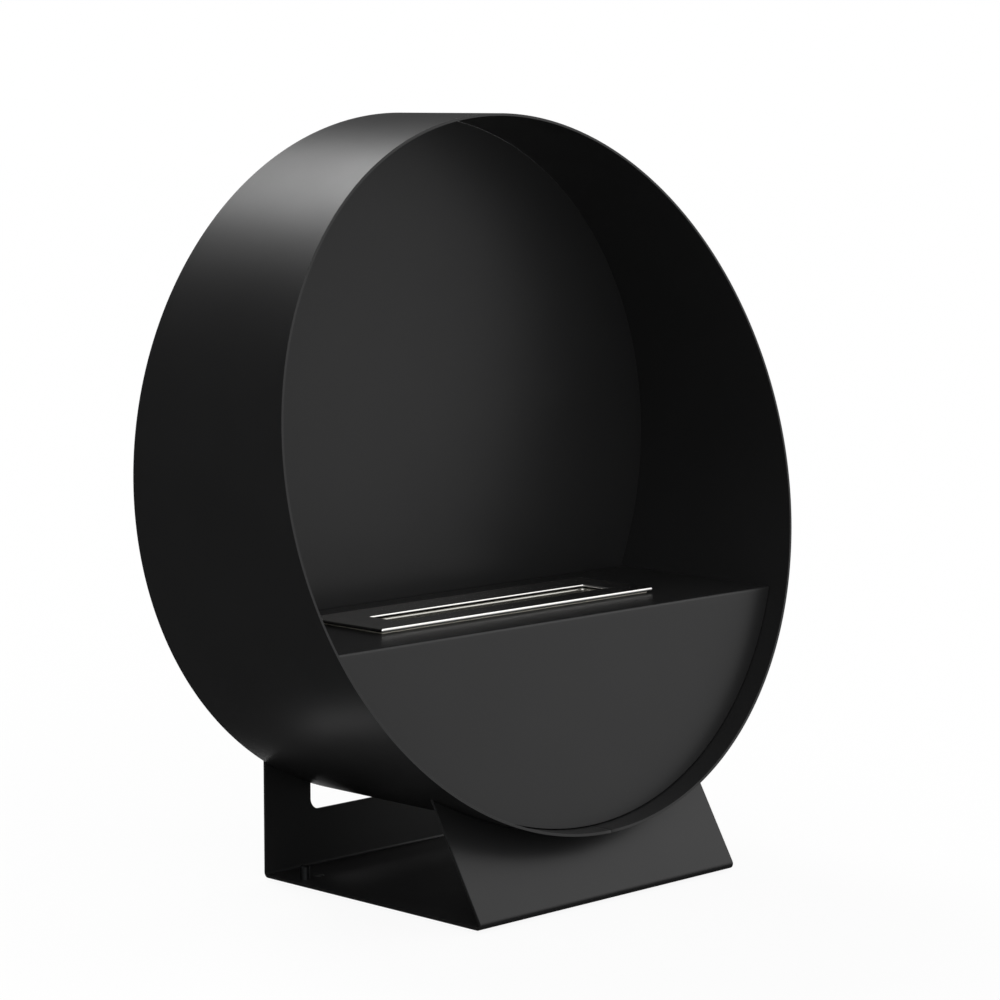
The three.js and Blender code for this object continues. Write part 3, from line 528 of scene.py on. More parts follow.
def add_into(bm, other, matrix=Matrix()):
    """Adds a copy of another bmesh, moved by a matrix."""
    mesh = bpy.data.meshes.new("copy")
    other.to_mesh(mesh)
    mesh.transform(matrix)
    bm.from_mesh(mesh)
    bpy.data.meshes.remove(mesh)


def pointing(direction, place):
    """The matrix that turns +Z to a direction and sets the origin down at a place."""
    return Matrix.Translation(place) @ AXIS_Z.rotation_difference(direction).to_matrix().to_4x4()


def bolt_shape(grip):
    """A bolt whose head sits on z 0 and rises, with its threaded shank running down."""
    bm = hexagon(BOLT_FLATS, BOLT_HEAD, chamfer_foot=False)
    add_into(bm, threaded_rod(BOLT_RADIUS, BOLT_PITCH, grip), pointing(-AXIS_Z, (0, 0, 0)))
    return bm


STUD_RADIUS = 2.5 * MM
STUD_PITCH = 0.8 * MM
STUD_NUT_HEIGHT = 4 * MM
STUD_NUT = hexagon_nut(8 * MM, STUD_NUT_HEIGHT, STUD_RADIUS)
BOLT_RADIUS = 3 * MM
BOLT_PITCH = 1.0 * MM
BOLT_FLATS = 10 * MM
BOLT_HEAD = 4 * MM
BOLT_HOLE = 3.3 * MM  # radius
BOLT_NUT = hexagon_nut(BOLT_FLATS, 5 * MM, BOLT_RADIUS)
print("nuts with", len(STUD_NUT.faces), "and", len(BOLT_NUT.faces), "faces")

# %% [markdown]
# ## The back panel
# A flat disc closes the drum a little in front of its rear edge. On its rear face six threaded studs are
# welded, and tabs on the drum's wall take them, each with a nut. A disc is a capped circle, pulled to its
# thickness.

# %% Back panel with its weld studs
BACK_TABS = 6
STUD_AXIS = DRUM_INSIDE - 20 * MM  # the studs' distance from the drum's axis
panel_low, panel_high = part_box("back_panel")
PANEL_SHEET = 2 * MM
PANEL_FRONT = panel_low.y
PANEL_REAR = PANEL_FRONT + PANEL_SHEET
STUD_LENGTH = panel_high.y - PANEL_REAR


def disc(radius, y0, y1, facets=ROUND):
    """A round plate square to the drum's axis."""
    bm = bmesh.new()
    stand_up = Matrix.Translation((0, y0, DRUM_Z)) @ Matrix.Rotation(radians(90), 4, "X")
    bmesh.ops.create_circle(bm, cap_ends=True, radius=radius, segments=facets, matrix=stand_up)
    far_side = bmesh.ops.extrude_face_region(bm, geom=list(bm.faces))["geom"]
    bmesh.ops.translate(bm, verts=vertices_of(far_side), vec=(0, y1 - y0, 0))
    bmesh.ops.recalc_face_normals(bm, faces=bm.faces)
    return bm


def weld_stud(name, node, foot, direction, length):
    """A threaded stud, welded to a sheet and painted with it."""
    stud = bmesh.new()
    add_into(stud, threaded_rod(STUD_RADIUS, STUD_PITCH, length), pointing(direction, foot))
    finish_piece(stud, name, node, "housing", black_coat)


back = disc(panel_high.x, PANEL_FRONT, PANEL_REAR)
finish_piece(back, "back_disc", "back_panel", "housing", black_coat, bevel=0.3 * MM)
for tab in range(BACK_TABS):
    place = on_drum(STUD_AXIS, DOWN + tab * 2 * pi / BACK_TABS, PANEL_REAR)
    weld_stud(f"back_stud_{tab + 1}", "back_panel", place, AXIS_Y, STUD_LENGTH)

# %% Nuts on the back panel's studs
for tab in range(1, BACK_TABS + 1):
    centre = middle(f"back_tab_nut_{tab}")
    place = Vector((centre.x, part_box(f"back_tab_nut_{tab}")[0].y, centre.z))
    nut = bmesh.new()
    add_into(nut, STUD_NUT, pointing(AXIS_Y, place))
    finish_piece(nut, f"back_nut_{tab}", f"back_tab_nut_{tab}", "housing", zinc_plate)
print("back panel at y", round(PANEL_FRONT, 4), "studs", round(STUD_LENGTH / MM, 1), "mm long")

# %% [markdown]
# ## Folded sheets
# The hearth and the stand are each one sheet, folded on a press brake. A point walks along the section as
# the sheet itself would be bent: straight on, then round the fold by a spin, then straight on again. A bevel
# on a sharp crease would be shorter to write, but it makes a true arc only at a right angle, and some of
# these folds turn by another. The section is pulled across the width, and the sheet gets its thickness last,
# so that inside and outside radius come out right together. An arc of radius r round a fold that turns by an
# angle starts r times the tangent of half that angle before the crease.

# %% Folding helper
BAR_REACH = 0.5


def walk_to(bm, tip, point):
    """Adds an edge from a vertex to a point, and returns the new end."""
    end = bm.verts.new(point)
    bm.edges.new((tip, end))
    return end


def folded_sheet(path, half_width, sheet, outside_radius):
    """A folded sheet across X. The path runs along its outer face, from one end to the other."""
    bm = bmesh.new()
    points = [Vector((-half_width, y, z)) for y, z in path]
    tip = bm.verts.new(points[0])
    for before, fold, after in zip(points, points[1:], points[2:]):
        arriving = (fold - before).normalized()
        leaving = (after - fold).normalized()
        turn = arriving.angle(leaving)
        hinge = arriving.cross(leaving).normalized()
        tip = walk_to(bm, tip, fold - arriving * outside_radius * tan(turn / 2))
        centre = tip.co + hinge.cross(arriving) * outside_radius
        arc = bmesh.ops.spin(bm, geom=[tip], cent=centre, axis=hinge, angle=turn, steps=14)
        tip = vertices_of(arc["geom_last"])[0]
    walk_to(bm, tip, points[-1])
    strip = bmesh.ops.extrude_edge_only(bm, edges=list(bm.edges))["geom"]
    bmesh.ops.translate(bm, verts=vertices_of(strip), vec=(2 * half_width, 0, 0))
    bm.normal_update()
    bmesh.ops.solidify(bm, geom=list(bm.faces), thickness=sheet)
    bmesh.ops.recalc_face_normals(bm, faces=bm.faces)
    return bm


def drum_core(radius):
    """A round bar along the drum's axis, far longer than the object is deep."""
    return disc(radius, -BAR_REACH, BAR_REACH)


def block(low, high):
    """A box between two corners."""
    bm = bmesh.new()
    bmesh.ops.create_cube(bm, size=1.0)
    bmesh.ops.scale(bm, verts=bm.verts, vec=Vector(high) - Vector(low))
    bmesh.ops.translate(bm, verts=bm.verts, vec=(Vector(high) + Vector(low)) / 2)
    return bm


def round_edges(bm, along, radius, segments=8):
    """Rounds the edges of a block that run along an axis, and returns the block."""
    edges = []
    for edge in bm.edges:
        direction = (edge.verts[1].co - edge.verts[0].co).normalized()
        if abs(direction.dot(along)) > 0.999:
            edges.append(edge)
    bend_edges(bm, edges, radius, segments)
    return bm


# %% [markdown]
# ## The hearth sheet
# This sheet has two folds: the slanted front panel, the shelf and a short lip down the back panel. Its edges
# follow the drum, so the wide folded strip is intersected with a round bar that is a hair smaller than the
# drum's inside. The burner's cut-out is the last cut.

# %% Fold and cut the hearth
HEARTH_SHEET = 2 * MM
HEARTH_GAP = 1.3 * MM  # between the cut edges and the drum
PANEL_LEAN = radians(11.85)
PANEL_INSET = 23 * MM  # behind the mouth, on the drum's axis
LIP_HEIGHT = 22 * MM
CUTOUT_CORNER = 8 * MM
hearth_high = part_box("hearth_sheet")[1]
SHELF_TOP = hearth_high.z
SHELF_REAR = hearth_high.y


def panel_y(z):
    """Where the front panel's face lies at a height."""
    return MOUTH_Y + PANEL_INSET + (z - DRUM_Z) * tan(PANEL_LEAN)


box_low, box_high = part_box("burner_box")
cutout_middle = Vector((0, (box_low.y + box_high.y) / 2, SHELF_TOP))
cutout_half = Vector((202 * MM, 46 * MM, OVERCUT / 2))
cutout = block(cutout_middle - cutout_half, cutout_middle + cutout_half)

hearth = folded_sheet(
    [
        (SHELF_REAR, SHELF_TOP - LIP_HEIGHT),
        (SHELF_REAR, SHELF_TOP),
        (panel_y(SHELF_TOP), SHELF_TOP),
        (panel_y(DRUM_Z - DRUM_RADIUS), DRUM_Z - DRUM_RADIUS),
    ],
    DRUM_RADIUS,
    -HEARTH_SHEET,
    HEARTH_SHEET * 2,
)
hearth = carve(hearth, drum_core(DRUM_INSIDE - HEARTH_GAP), "INTERSECT")
hearth = carve(hearth, round_edges(cutout, AXIS_Z, CUTOUT_CORNER))
print("hearth front at y", round(min(v.co.y for v in hearth.verts), 4), "and shelf at z", round(SHELF_TOP, 4))
finish_piece(hearth, "hearth", "hearth_sheet", "housing", black_coat, bevel=0.5 * MM)

# %% [markdown]
# ## The stand
# The stand's sheet has two folds as well: a rear plate straight up, a base, and a front flange that leans
# back until it meets the drum. The drum's own round, a hair larger, cuts the flange's top edge and frees the
# rear plate, whose middle is cut out so that two ears remain.

# %% Fold and cut the stand
STAND_GAP = 0.3 * MM  # between the flange's top edge and the drum
REAR_GAP = 3.5 * MM  # that the drum's round reaches behind the drum
STAND_SHEET = 3 * MM
STAND_BEND = 6 * MM  # outside radius
FLANGE_LEAN = radians(30.75)
EAR_TOP = DRUM_Z - DRUM_RADIUS + 82 * MM
WINDOW_HALF = 137.5 * MM
stand_low, stand_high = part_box("stand_frame")
BASE_BOTTOM = stand_low.z
STAND_REAR = stand_high.y
STAND_HALF = stand_high.x
FLANGE_FOOT = stand_low.y - STAND_BEND * (tan((pi / 2 + FLANGE_LEAN) / 2) - 1)
WINDOW_SILL = BASE_BOTTOM + 68.6 * MM

stand = folded_sheet(
    [
        (STAND_REAR, EAR_TOP),
        (STAND_REAR, BASE_BOTTOM),
        (FLANGE_FOOT, BASE_BOTTOM),
        (FLANGE_FOOT + tan(FLANGE_LEAN) * (EAR_TOP - BASE_BOTTOM), EAR_TOP),
    ],
    STAND_HALF,
    STAND_SHEET,
    STAND_BEND,
)
stand = carve(stand, disc(DRUM_RADIUS + STAND_GAP, -BAR_REACH, DRUM_BACK + REAR_GAP))

# %% [markdown]
# The window and the ears' rounded corners need a tool each. A block with four rounded edges clears the
# window and leaves round corners above its sill. Each of the ears' top corners is cut by what a rounded
# corner leaves away: a small square block, less a quarter of a round bar. Last come the holes, each drilled
# at the place of the foot, plug or bolt that goes through it.

# %% Window, ears and holes
WINDOW_CORNER = 14 * MM
WINDOW_TOP = 1.0  # anywhere above the ears
EAR_CORNER = 12 * MM
FOOT_HOLE = 6 * MM  # radius
PLUG_HOLE = 5 * MM  # radius
window = block(
    (-WINDOW_HALF, STAND_REAR - OVERCUT, WINDOW_SILL),
    (WINDOW_HALF, STAND_REAR + OVERCUT, WINDOW_TOP),
)
stand = carve(stand, round_edges(window, AXIS_Y, WINDOW_CORNER, 10))


def corner_cutter(x, side):
    """What a rounded corner leaves away: a square with a quarter of a cylinder taken out of it."""
    centre_x = x - side * EAR_CORNER
    centre_z = EAR_TOP - EAR_CORNER
    reach = EAR_CORNER + 1 * MM
    square = block(
        (min(centre_x, centre_x + side * reach), STAND_REAR - OVERCUT, centre_z),
        (max(centre_x, centre_x + side * reach), STAND_REAR + OVERCUT, centre_z + reach),
    )
    bar = bmesh.new()
    stand_up = Matrix.Translation((centre_x, STAND_REAR, centre_z)) @ Matrix.Rotation(radians(90), 4, "X")
    bmesh.ops.create_cone(
        bar,
        cap_ends=True,
        segments=64,
        radius1=EAR_CORNER,
        radius2=EAR_CORNER,
        depth=3 * OVERCUT,
        matrix=stand_up,
    )
    return carve(square, bar)


for side in (-1, 1):
    stand = carve(stand, corner_cutter(side * STAND_HALF, side))
    stand = carve(stand, corner_cutter(side * WINDOW_HALF, -side))


def drill_hole(sheet, place, direction, radius):
    """Drills a round hole through a sheet at a place."""
    drill = bmesh.new()
    bmesh.ops.create_cone(
        drill,
        cap_ends=True,
        segments=48,
        radius1=radius,
        radius2=radius,
        depth=OVERCUT,
        matrix=pointing(direction, place),
    )
    return carve(sheet, drill)


CORNERS = ("front_left", "front_right", "rear_left", "rear_right")
for corner in CORNERS:
    for node, radius in ((f"foot_{corner}", FOOT_HOLE), (f"base_plug_{corner}", PLUG_HOLE)):
        centre = middle(node)
        stand = drill_hole(stand, (centre.x, centre.y, BASE_BOTTOM), AXIS_Z, radius)
for side in ("left", "right"):
    centre = middle(f"rear_bolt_{side}")
    stand = drill_hole(stand, (centre.x, STAND_REAR, centre.z), AXIS_Y, BOLT_HOLE)
finish_piece(stand, "stand", "stand_frame", "housing", black_coat, bevel=0.3 * MM)
print("stand foot at y", round(FLANGE_FOOT, 4), "window sill at z", round(WINDOW_SILL, 4))

# %% [markdown]
# ## Small sheet parts
# Tabs, supports and saddles already have their true shape in the frame. A CAD mesh is loose triangles, so a
# copy is merged, its flat triangles are dissolved into whole faces, and the piece helper's bevel rounds the
# cut edges. The node itself isn't touched.

# %% Dress the small sheet parts


def copy_of(node):
    """A merged copy of a node's mesh, with its flat faces made whole."""
    bm = bmesh.new()
    bm.from_mesh(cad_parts[node].data)
    bmesh.ops.remove_doubles(bm, verts=bm.verts, dist=2 * SAME)
    bmesh.ops.dissolve_limit(bm, angle_limit=radians(0.5), verts=bm.verts, edges=bm.edges)
    return bm


sheet_parts = [f"back_tab_{tab}" for tab in range(1, BACK_TABS + 1)]
for side in ("left", "right"):
    sheet_parts += [f"shelf_support_{side}", f"panel_tab_{side}", f"front_saddle_{side}", f"rear_tab_{side}"]
for node in sheet_parts:
    finish_piece(copy_of(node), f"{node}_sheet", node, "housing", black_coat, bevel=0.25 * MM)
print(len(sheet_parts), "sheet parts dressed")

# %% Nuts and bolts of the shelf and the saddles


def placed(shape, place, direction):
    """A copy of a shape that points in a direction, at a place."""
    bm = bmesh.new()
    add_into(bm, shape, pointing(direction, place))
    return bm


THREAD_END = 2 * MM  # that a stud stands out of its nut
for name in ("left_front", "left_rear", "right_front", "right_rear"):
    low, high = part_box(f"shelf_nut_{name}")
    place = Vector((*middle(f"shelf_nut_{name}").xy, high.z))
    nut = placed(STUD_NUT, place, -AXIS_Z)
    finish_piece(nut, f"shelf_fixing_{name}", f"shelf_nut_{name}", "housing", zinc_plate)
    place.z = SHELF_TOP - HEARTH_SHEET
    weld_stud(f"shelf_stud_{name}", "hearth_sheet", place, -AXIS_Z, place.z - low.z + THREAD_END)

SADDLE_SPREAD = radians(14.5)
SADDLE_FACE = 2.6 * MM  # the saddle's outer face, from the drum
SADDLE_GRIP = 12.9 * MM
FACE_GAP = 0.3 * MM  # between a fastener and the face under it
panel_normal = Vector((0, cos(PANEL_LEAN), -sin(PANEL_LEAN)))
for side, sign in (("left", -1), ("right", 1)):
    centre = middle(f"panel_nut_{side}")
    nut = placed(STUD_NUT, centre - panel_normal * STUD_NUT_HEIGHT / 2, panel_normal)
    finish_piece(nut, f"panel_fixing_{side}", f"panel_nut_{side}", "housing", zinc_plate)
    depth = (centre.y - panel_y(centre.z)) * cos(PANEL_LEAN) - HEARTH_SHEET
    length = depth + STUD_NUT_HEIGHT / 2 + THREAD_END
    weld_stud(f"panel_stud_{side}", "hearth_sheet", centre - panel_normal * depth, panel_normal, length)
    outward = Vector((cos(DOWN + sign * SADDLE_SPREAD), 0, sin(DOWN + sign * SADDLE_SPREAD)))
    bolt_y = middle(f"saddle_bolt_{side}").y
    head = on_drum(DRUM_RADIUS + SADDLE_FACE, DOWN + sign * SADDLE_SPREAD, bolt_y)
    bolt = placed(bolt_shape(SADDLE_GRIP), head, outward)
    finish_piece(bolt, f"saddle_screw_{side}", f"saddle_bolt_{side}", "housing", zinc_plate)
    nut_face = on_drum(DRUM_INSIDE - FACE_GAP, DOWN + sign * SADDLE_SPREAD, bolt_y)
    nut = placed(BOLT_NUT, nut_face, -outward)
    finish_piece(nut, f"saddle_fixing_{side}", f"saddle_nut_{side}", "housing", zinc_plate)

# %% Bolts, nuts and spacers of the rear tabs
SPACER_RADIUS = 7 * MM
for side in ("left", "right"):
    centre = middle(f"rear_bolt_{side}")
    head = Vector((centre.x, STAND_REAR + FACE_GAP, centre.z))
    grip = head.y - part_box(f"rear_bolt_{side}")[0].y
    bolt = placed(bolt_shape(grip), head, AXIS_Y)
    finish_piece(bolt, f"rear_screw_{side}", f"rear_bolt_{side}", "housing", zinc_plate)
    nut_face = Vector((centre.x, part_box(f"rear_nut_{side}")[1].y, centre.z))
    nut = placed(BOLT_NUT, nut_face, -AXIS_Y)
    finish_piece(nut, f"rear_fixing_{side}", f"rear_nut_{side}", "housing", zinc_plate)
    low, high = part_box(f"rear_spacer_{side}")
    length = high.y - low.y
    spacer = spun_blank(
        [(BOLT_HOLE, 0), (SPACER_RADIUS, 0), (SPACER_RADIUS, length), (BOLT_HOLE, length), (BOLT_HOLE, 0)]
    )
    spacer = placed(spacer, Vector((centre.x, low.y, centre.z)), AXIS_Y)
    name = f"rear_sleeve_{side}"
    finish_piece(spacer, name, f"rear_spacer_{side}", "housing", zinc_plate, bevel=0.3 * MM)

# %% [markdown]
# ## Feet and plugs
# Each foot is a stud with a pad: it is screwed through the base until the fireplace stands level. What shows
# of its stem is smooth, so pad and stem are one spun profile. Beside each foot a push-in plug closes a spare
# fixing hole.

# %% Levelling feet and plugs
PAD_RADIUS = 9 * MM
PAD_HEIGHT = 3 * MM
STEM_RADIUS = 5.75 * MM
FOOT_CHAMFER = 0.8 * MM
PLUG_RADIUS = 4.7 * MM
PLUG_CAP = 1.5 * MM  # the height of its domed cap
for corner in CORNERS:
    low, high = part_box(f"foot_{corner}")
    stem = high.z - low.z
    foot = spun_blank(
        [
            (0, 0),
            (PAD_RADIUS - FOOT_CHAMFER, 0),
            (PAD_RADIUS, FOOT_CHAMFER),
            (PAD_RADIUS, PAD_HEIGHT - FOOT_CHAMFER),
            (PAD_RADIUS - FOOT_CHAMFER, PAD_HEIGHT),
            (STEM_RADIUS, PAD_HEIGHT),
            (STEM_RADIUS, stem - FOOT_CHAMFER),
            (STEM_RADIUS - FOOT_CHAMFER, stem),
            (0, stem),
        ]
    )
    bmesh.ops.translate(foot, verts=foot.verts, vec=(*middle(f"foot_{corner}").xy, low.z))
    name = f"levelling_foot_{corner}"
    finish_piece(foot, name, f"foot_{corner}", f"{corner}_foot", black_zinc)
    low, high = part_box(f"base_plug_{corner}")
    rise = high.z - low.z
    cap = rise - PLUG_CAP
    plug = spun_blank(
        [
            (0, 0),
            (PLUG_RADIUS - 0.5 * MM, 0),
            (PLUG_RADIUS, 0.6 * MM),
            (PLUG_RADIUS, cap),
            (6.25 * MM, cap),
            (6.2 * MM, cap + 0.5 * MM),
            (5.6 * MM, cap + 1.1 * MM),
            (4.2 * MM, rise),
            (0, rise),
        ]
    )
    bmesh.ops.translate(plug, verts=plug.verts, vec=(*middle(f"base_plug_{corner}").xy, low.z))
    name = f"hole_plug_{corner}"
    finish_piece(plug, name, f"base_plug_{corner}", "housing", black_plastic)
print("feet and plugs:", 2 * len(CORNERS))

# %% [markdown]
# ## The burner's top plate
# The plate is a shallow steel lid: a flat top with its rim turned down, and one long slot for the flame. The
# flat top mirrors the dark back panel, so on its own it would vanish on the black shelf. What draws it are
# its bends. The rim and the slot's edge are pressed to a radius of nearly the sheet's thickness, and that
# curve looks up at the bright room. The rim is dressed round below too, where it looks down at the dark
# shelf. Four low feet in the corners keep the lid off the tank. A weighted-normal modifier lets the large
# flat faces stay flat beside their bends.

# %% Top plate
PLATE_SHEET = 2.5 * MM
PLATE_BEND = 2.4 * MM
SLOT_LENGTH = 347 * MM
SLOT_WIDTH = 42 * MM
SLOT_SHIFT = Vector((4 * MM, -6 * MM, 0))  # from the plate's middle
PLATE_FOOT = Vector((204 * MM, 44 * MM, 0))  # from the plate's middle
PLATE_FOOT_RADIUS = 5 * MM
RIM_ROUND = 2.0 * MM
SLOT_BEND = 2.1 * MM
SLOT_CORNER = 1.0 * MM
plate_low, plate_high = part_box("burner_top_plate")
plate_middle = (plate_low + plate_high) / 2
RIM_FOOT = plate_high.z - 4.6 * MM


def stay_flat(piece):
    """Weights a piece's shading by the area of its faces."""
    weighting = piece.modifiers.new("Flat faces stay flat", "WEIGHTED_NORMAL")
    weighting.keep_sharp = True
    return piece


plate = block((plate_low.x, plate_low.y, RIM_FOOT), plate_high)
outer_edges = [edge for edge in plate.edges if any(v.co.z > plate_high.z - NEAR for v in edge.verts)]
bend_edges(plate, outer_edges, PLATE_BEND, 8)
rim_edges = [edge for edge in plate.edges if all(v.co.z < RIM_FOOT + NEAR for v in edge.verts)]
bend_edges(plate, rim_edges, RIM_ROUND, 7)
hollow = block(
    (plate_low.x + PLATE_SHEET, plate_low.y + PLATE_SHEET, RIM_FOOT - OVERCUT / 2),
    (plate_high.x - PLATE_SHEET, plate_high.y - PLATE_SHEET, plate_high.z - PLATE_SHEET),
)
slot_middle = plate_middle + SLOT_SHIFT
slot_half = Vector((SLOT_LENGTH / 2, SLOT_WIDTH / 2, OVERCUT))
slot = round_edges(block(slot_middle - slot_half, slot_middle + slot_half), AXIS_Z, SLOT_CORNER)
plate = carve(carve(plate, hollow), slot)


def on_slot(vertex):
    """Whether a vertex lies on the slot's upper outline."""
    away = vertex.co - slot_middle
    inside = abs(away.x) < slot_half.x + NEAR and abs(away.y) < slot_half.y + NEAR
    return inside and vertex.co.z > plate_high.z - NEAR


slot_edges = [edge for edge in plate.edges if all(on_slot(vertex) for vertex in edge.verts)]
bend_edges(plate, slot_edges, SLOT_BEND, 7)
foot_top = plate_high.z - PLATE_SHEET / 2
for x_side, y_side in ((-1, -1), (1, -1), (1, 1), (-1, 1)):
    place = plate_middle + Vector((x_side * PLATE_FOOT.x, y_side * PLATE_FOOT.y, 0))
    place.z = (plate_low.z + foot_top) / 2
    bmesh.ops.create_cone(
        plate,
        cap_ends=True,
        segments=32,
        radius1=PLATE_FOOT_RADIUS,
        radius2=PLATE_FOOT_RADIUS,
        depth=foot_top - plate_low.z,
        matrix=Matrix.Translation(place),
    )
stay_flat(
    finish_piece(plate, "burner_cover", "burner_top_plate", "burner", stainless, bevel=0.25 * MM)
)
print("slot edges bent:", len(slot_edges))

# %% [markdown]
# ## Tank, box, grate and felt
# Under the slot hangs the tank that holds the fuel, inside an outer box that keeps the heat off the shelf.
# Both are thin pressed trays, so merged copies of the nodes serve, with a hair of bevel. A ceramic felt pad
# soaks the fuel up, and a perforated sheet holds it down. The felt is modelled on its own: a block with
# soft edges, because cut fibre never has sharp ones.

# %% Tank, box, grate, gasket and felt
# These three take the darker steel, which is painted shade for the inside of the burner's slot.
for node in ("burner_box", "fuel_tank", "tank_grate"):
    name = f"{node}_sheet"
    sheet = finish_piece(copy_of(node), name, node, "burner", shaded_steel, bevel=0.12 * MM)
    stay_flat(sheet)
strip = copy_of("burner_gasket")
finish_piece(strip, "gasket_strip", "burner_gasket", "burner", glass_fibre, bevel=0.15 * MM)

FELT_CORNER = 4 * MM
FELT_EDGE = 1.5 * MM
pad_low, pad_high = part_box("ceramic_pad")
felt = round_edges(block(pad_low, pad_high), AXIS_Z, FELT_CORNER, 6)
top_edges = [edge for edge in felt.edges if all(v.co.z > pad_high.z - NEAR for v in edge.verts)]
bend_edges(felt, top_edges, FELT_EDGE, 4)
finish_piece(felt, "felt_block", "ceramic_pad", "burner", ceramic_felt)
print("burner plate", [round(size / MM) for size in plate_high - plate_low], "mm")

# %% [markdown]
# ## The studio
# A black object is drawn by what it mirrors. The picture has a white surround, so the world is white to the
# camera, to mirror rays and through glass, and calm grey as a source of light. A wide lamp behind and above
# gives the soft band on the drum's shoulder. A second, from the front right, lights the flange and the panel,
# and a third, from the front left, fills in the rest. Suns with a wide angle are used as soft lamps, because
# they light the floor evenly. The dark sides need something dark to mirror: photographers set up black cards,
# called flags. One is curved and stands behind the object, and two lie on the floor, behind it and on its
# left.
# A round dark mat that lies under the stand is painted shade: it stands in for the shadow that the object
# casts on the floor, where mirror rays see it. They are stage objects that only mirror rays see.

# %% World
world = bpy.data.worlds.new("Studio")
scene.world = world
world.use_nodes = True
tree = world.node_tree
tree.nodes.clear()
rays = tree.nodes.new("ShaderNodeLightPath")
seen = math_node(tree, "MAXIMUM", rays.outputs["Is Camera Ray"], rays.outputs["Is Glossy Ray"])
seen = math_node(tree, "MAXIMUM", seen, rays.outputs["Is Transmission Ray"])
ambient = tree.nodes.new("ShaderNodeBackground")
ambient.inputs["Color"].default_value = (0.62, 0.62, 0.62, 1.0)
surround = tree.nodes.new("ShaderNodeBackground")
surround.inputs["Color"].default_value = (1.0, 1.0, 1.0, 1.0)
mix = tree.nodes.new("ShaderNodeMixShader")
tree.links.new(seen, mix.inputs["Fac"])
tree.links.new(ambient.outputs[0], mix.inputs[1])
tree.links.new(surround.outputs[0], mix.inputs[2])
tree.links.new(mix.outputs[0], tree.nodes.new("ShaderNodeOutputWorld").inputs["Surface"])

# %% Lamps


def soft_lamp(name, towards, strength, spread):
    """A sun that shines from a direction, with a wide disc."""
    lamp = bpy.data.lights.new(name, "SUN")
    lamp.energy = strength
    lamp.angle = radians(spread)
    holder = bpy.data.objects.new(name, lamp)
    holder.rotation_euler = Vector(towards).to_track_quat("Z", "Y").to_euler()
    scene.collection.objects.link(holder)


soft_lamp("shoulder lamp", (0.15, 0.70, 0.70), 1.08, 25)
soft_lamp("front lamp", (0.75, -0.35, 0.56), 0.42, 50)
soft_lamp("fill lamp", (-0.35, -0.85, 0.38), 0.95, 60)

# %% Floor
SEEN_SHARE = 0.92  # of the floor that is plain white where it is seen, while the rest keeps the shadow
FLOOR_HALF = 30
floor_finish = bpy.data.materials.new("pale floor")
floor_finish.use_nodes = True
tree = floor_finish.node_tree
shader = tree.nodes["Principled BSDF"]
shader.inputs["Base Color"].default_value = (0.94, 0.94, 0.94, 1.0)
shader.inputs["Roughness"].default_value = 0.9
shader.inputs["Specular IOR Level"].default_value = 0.0
rays = tree.nodes.new("ShaderNodeLightPath")
seen = math_node(tree, "MAXIMUM", rays.outputs["Is Camera Ray"], rays.outputs["Is Glossy Ray"])
seen = math_node(tree, "MAXIMUM", seen, rays.outputs["Is Transmission Ray"])
share = math_node(tree, "MULTIPLY", seen, SEEN_SHARE)
white = tree.nodes.new("ShaderNodeEmission")
white.inputs["Color"].default_value = (1.0, 1.0, 1.0, 1.0)
mix = tree.nodes.new("ShaderNodeMixShader")
tree.links.new(share, mix.inputs["Fac"])
tree.links.new(shader.outputs[0], mix.inputs[1])
tree.links.new(white.outputs[0], mix.inputs[2])
tree.links.new(mix.outputs[0], tree.nodes["Material Output"].inputs["Surface"])


def stage_object(name, bm, material):
    """Makes the bmesh an object with one material, in the scene."""
    mesh = bpy.data.meshes.new(name)
    bm.to_mesh(mesh)
    bm.free()
    mesh.materials.append(material)
    thing = bpy.data.objects.new(name, mesh)
    scene.collection.objects.link(thing)
    return thing


bm = bmesh.new()
bmesh.ops.create_grid(bm, x_segments=1, y_segments=1, size=FLOOR_HALF)
stage_object("floor", bm, floor_finish)
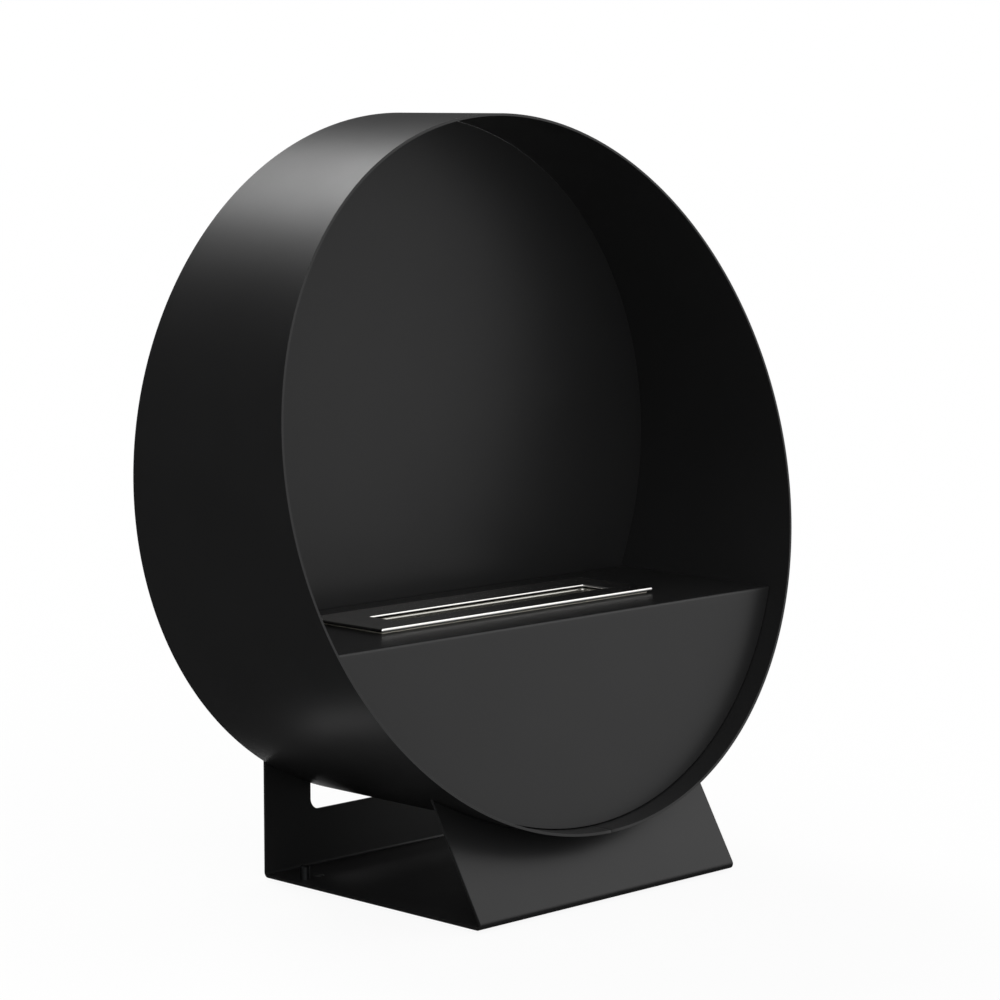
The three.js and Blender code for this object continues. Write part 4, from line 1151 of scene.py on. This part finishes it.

# %% Cards and mat
# This dark emission serves the flags, and also the round mat that lies under the stand, which is painted
# shade.
card_and_shade_finish = bpy.data.materials.new("dark card and painted shade")
card_and_shade_finish.use_nodes = True
tree = card_and_shade_finish.node_tree
tree.nodes.clear()
glow = tree.nodes.new("ShaderNodeEmission")
glow.inputs["Color"].default_value = (0.05, 0.05, 0.05, 1.0)
tree.links.new(glow.outputs[0], tree.nodes.new("ShaderNodeOutputMaterial").inputs["Surface"])
CARD_DISTANCE = 3.0
CARD_TOP = 3.2
CARD_START = radians(25)  # from +X, round the object's back
CARD_TURN = radians(140)
SHADE_MAT_RADIUS = 0.34


def mirror_only(card):
    """Lets only mirror rays see a card."""
    card.visible_camera = False
    card.visible_diffuse = False
    card.visible_transmission = False
    card.visible_shadow = False


bm = bmesh.new()
card_start = Vector((CARD_DISTANCE, 0, 0))
card_start.rotate(Matrix.Rotation(CARD_START, 3, "Z"))
foot = bm.verts.new(card_start)
edge = bm.edges.new((foot, bm.verts.new(card_start + AXIS_Z * CARD_TOP)))
bmesh.ops.spin(bm, geom=[*edge.verts, edge], cent=(0, 0, 0), axis=AXIS_Z, angle=CARD_TURN, steps=28)
mirror_only(stage_object("card behind", bm, card_and_shade_finish))
for name, card_middle, size in (
    ("card on the floor", (-1.8, 1.9, 0.002), (3.4, 3.4)),
    ("card beside the stand", (-0.83, 0.025, 0.002), (0.94, 0.35)),
):
    bm = bmesh.new()
    place = Matrix.Translation(card_middle) @ Matrix.Diagonal((*size, 1, 1))
    bmesh.ops.create_grid(bm, x_segments=1, y_segments=1, size=0.5, matrix=place)
    mirror_only(stage_object(name, bm, card_and_shade_finish))
# The round mat that lies under the stand is painted shade: a dark disc for mirror rays, in place of the
# shadow that the object casts on the floor.
bm = bmesh.new()
place = Matrix.Translation((0, 0, 0.001))
bmesh.ops.create_circle(bm, cap_ends=True, radius=SHADE_MAT_RADIUS, segments=64, matrix=place)
mirror_only(stage_object("painted shade mat under the stand", bm, card_and_shade_finish))

# %% [markdown]
# ## The camera
# The photograph is taken from a little above, from the front left. Its place and lens were worked out from
# the drum's round and the burner's straight edges, which all have to land on the same pixels at once.

# %% Camera
camera_data = bpy.data.cameras.new("camera")
camera_data.sensor_width = 36
camera_data.lens = 119.06
camera = bpy.data.objects.new("camera", camera_data)
camera.location = (-2.65758, -2.65974, 0.90091)
camera.rotation_euler = (radians(83), 0, radians(-45))
scene.collection.objects.link(camera)
scene.camera = camera
scene.view_settings.view_transform = "Standard"
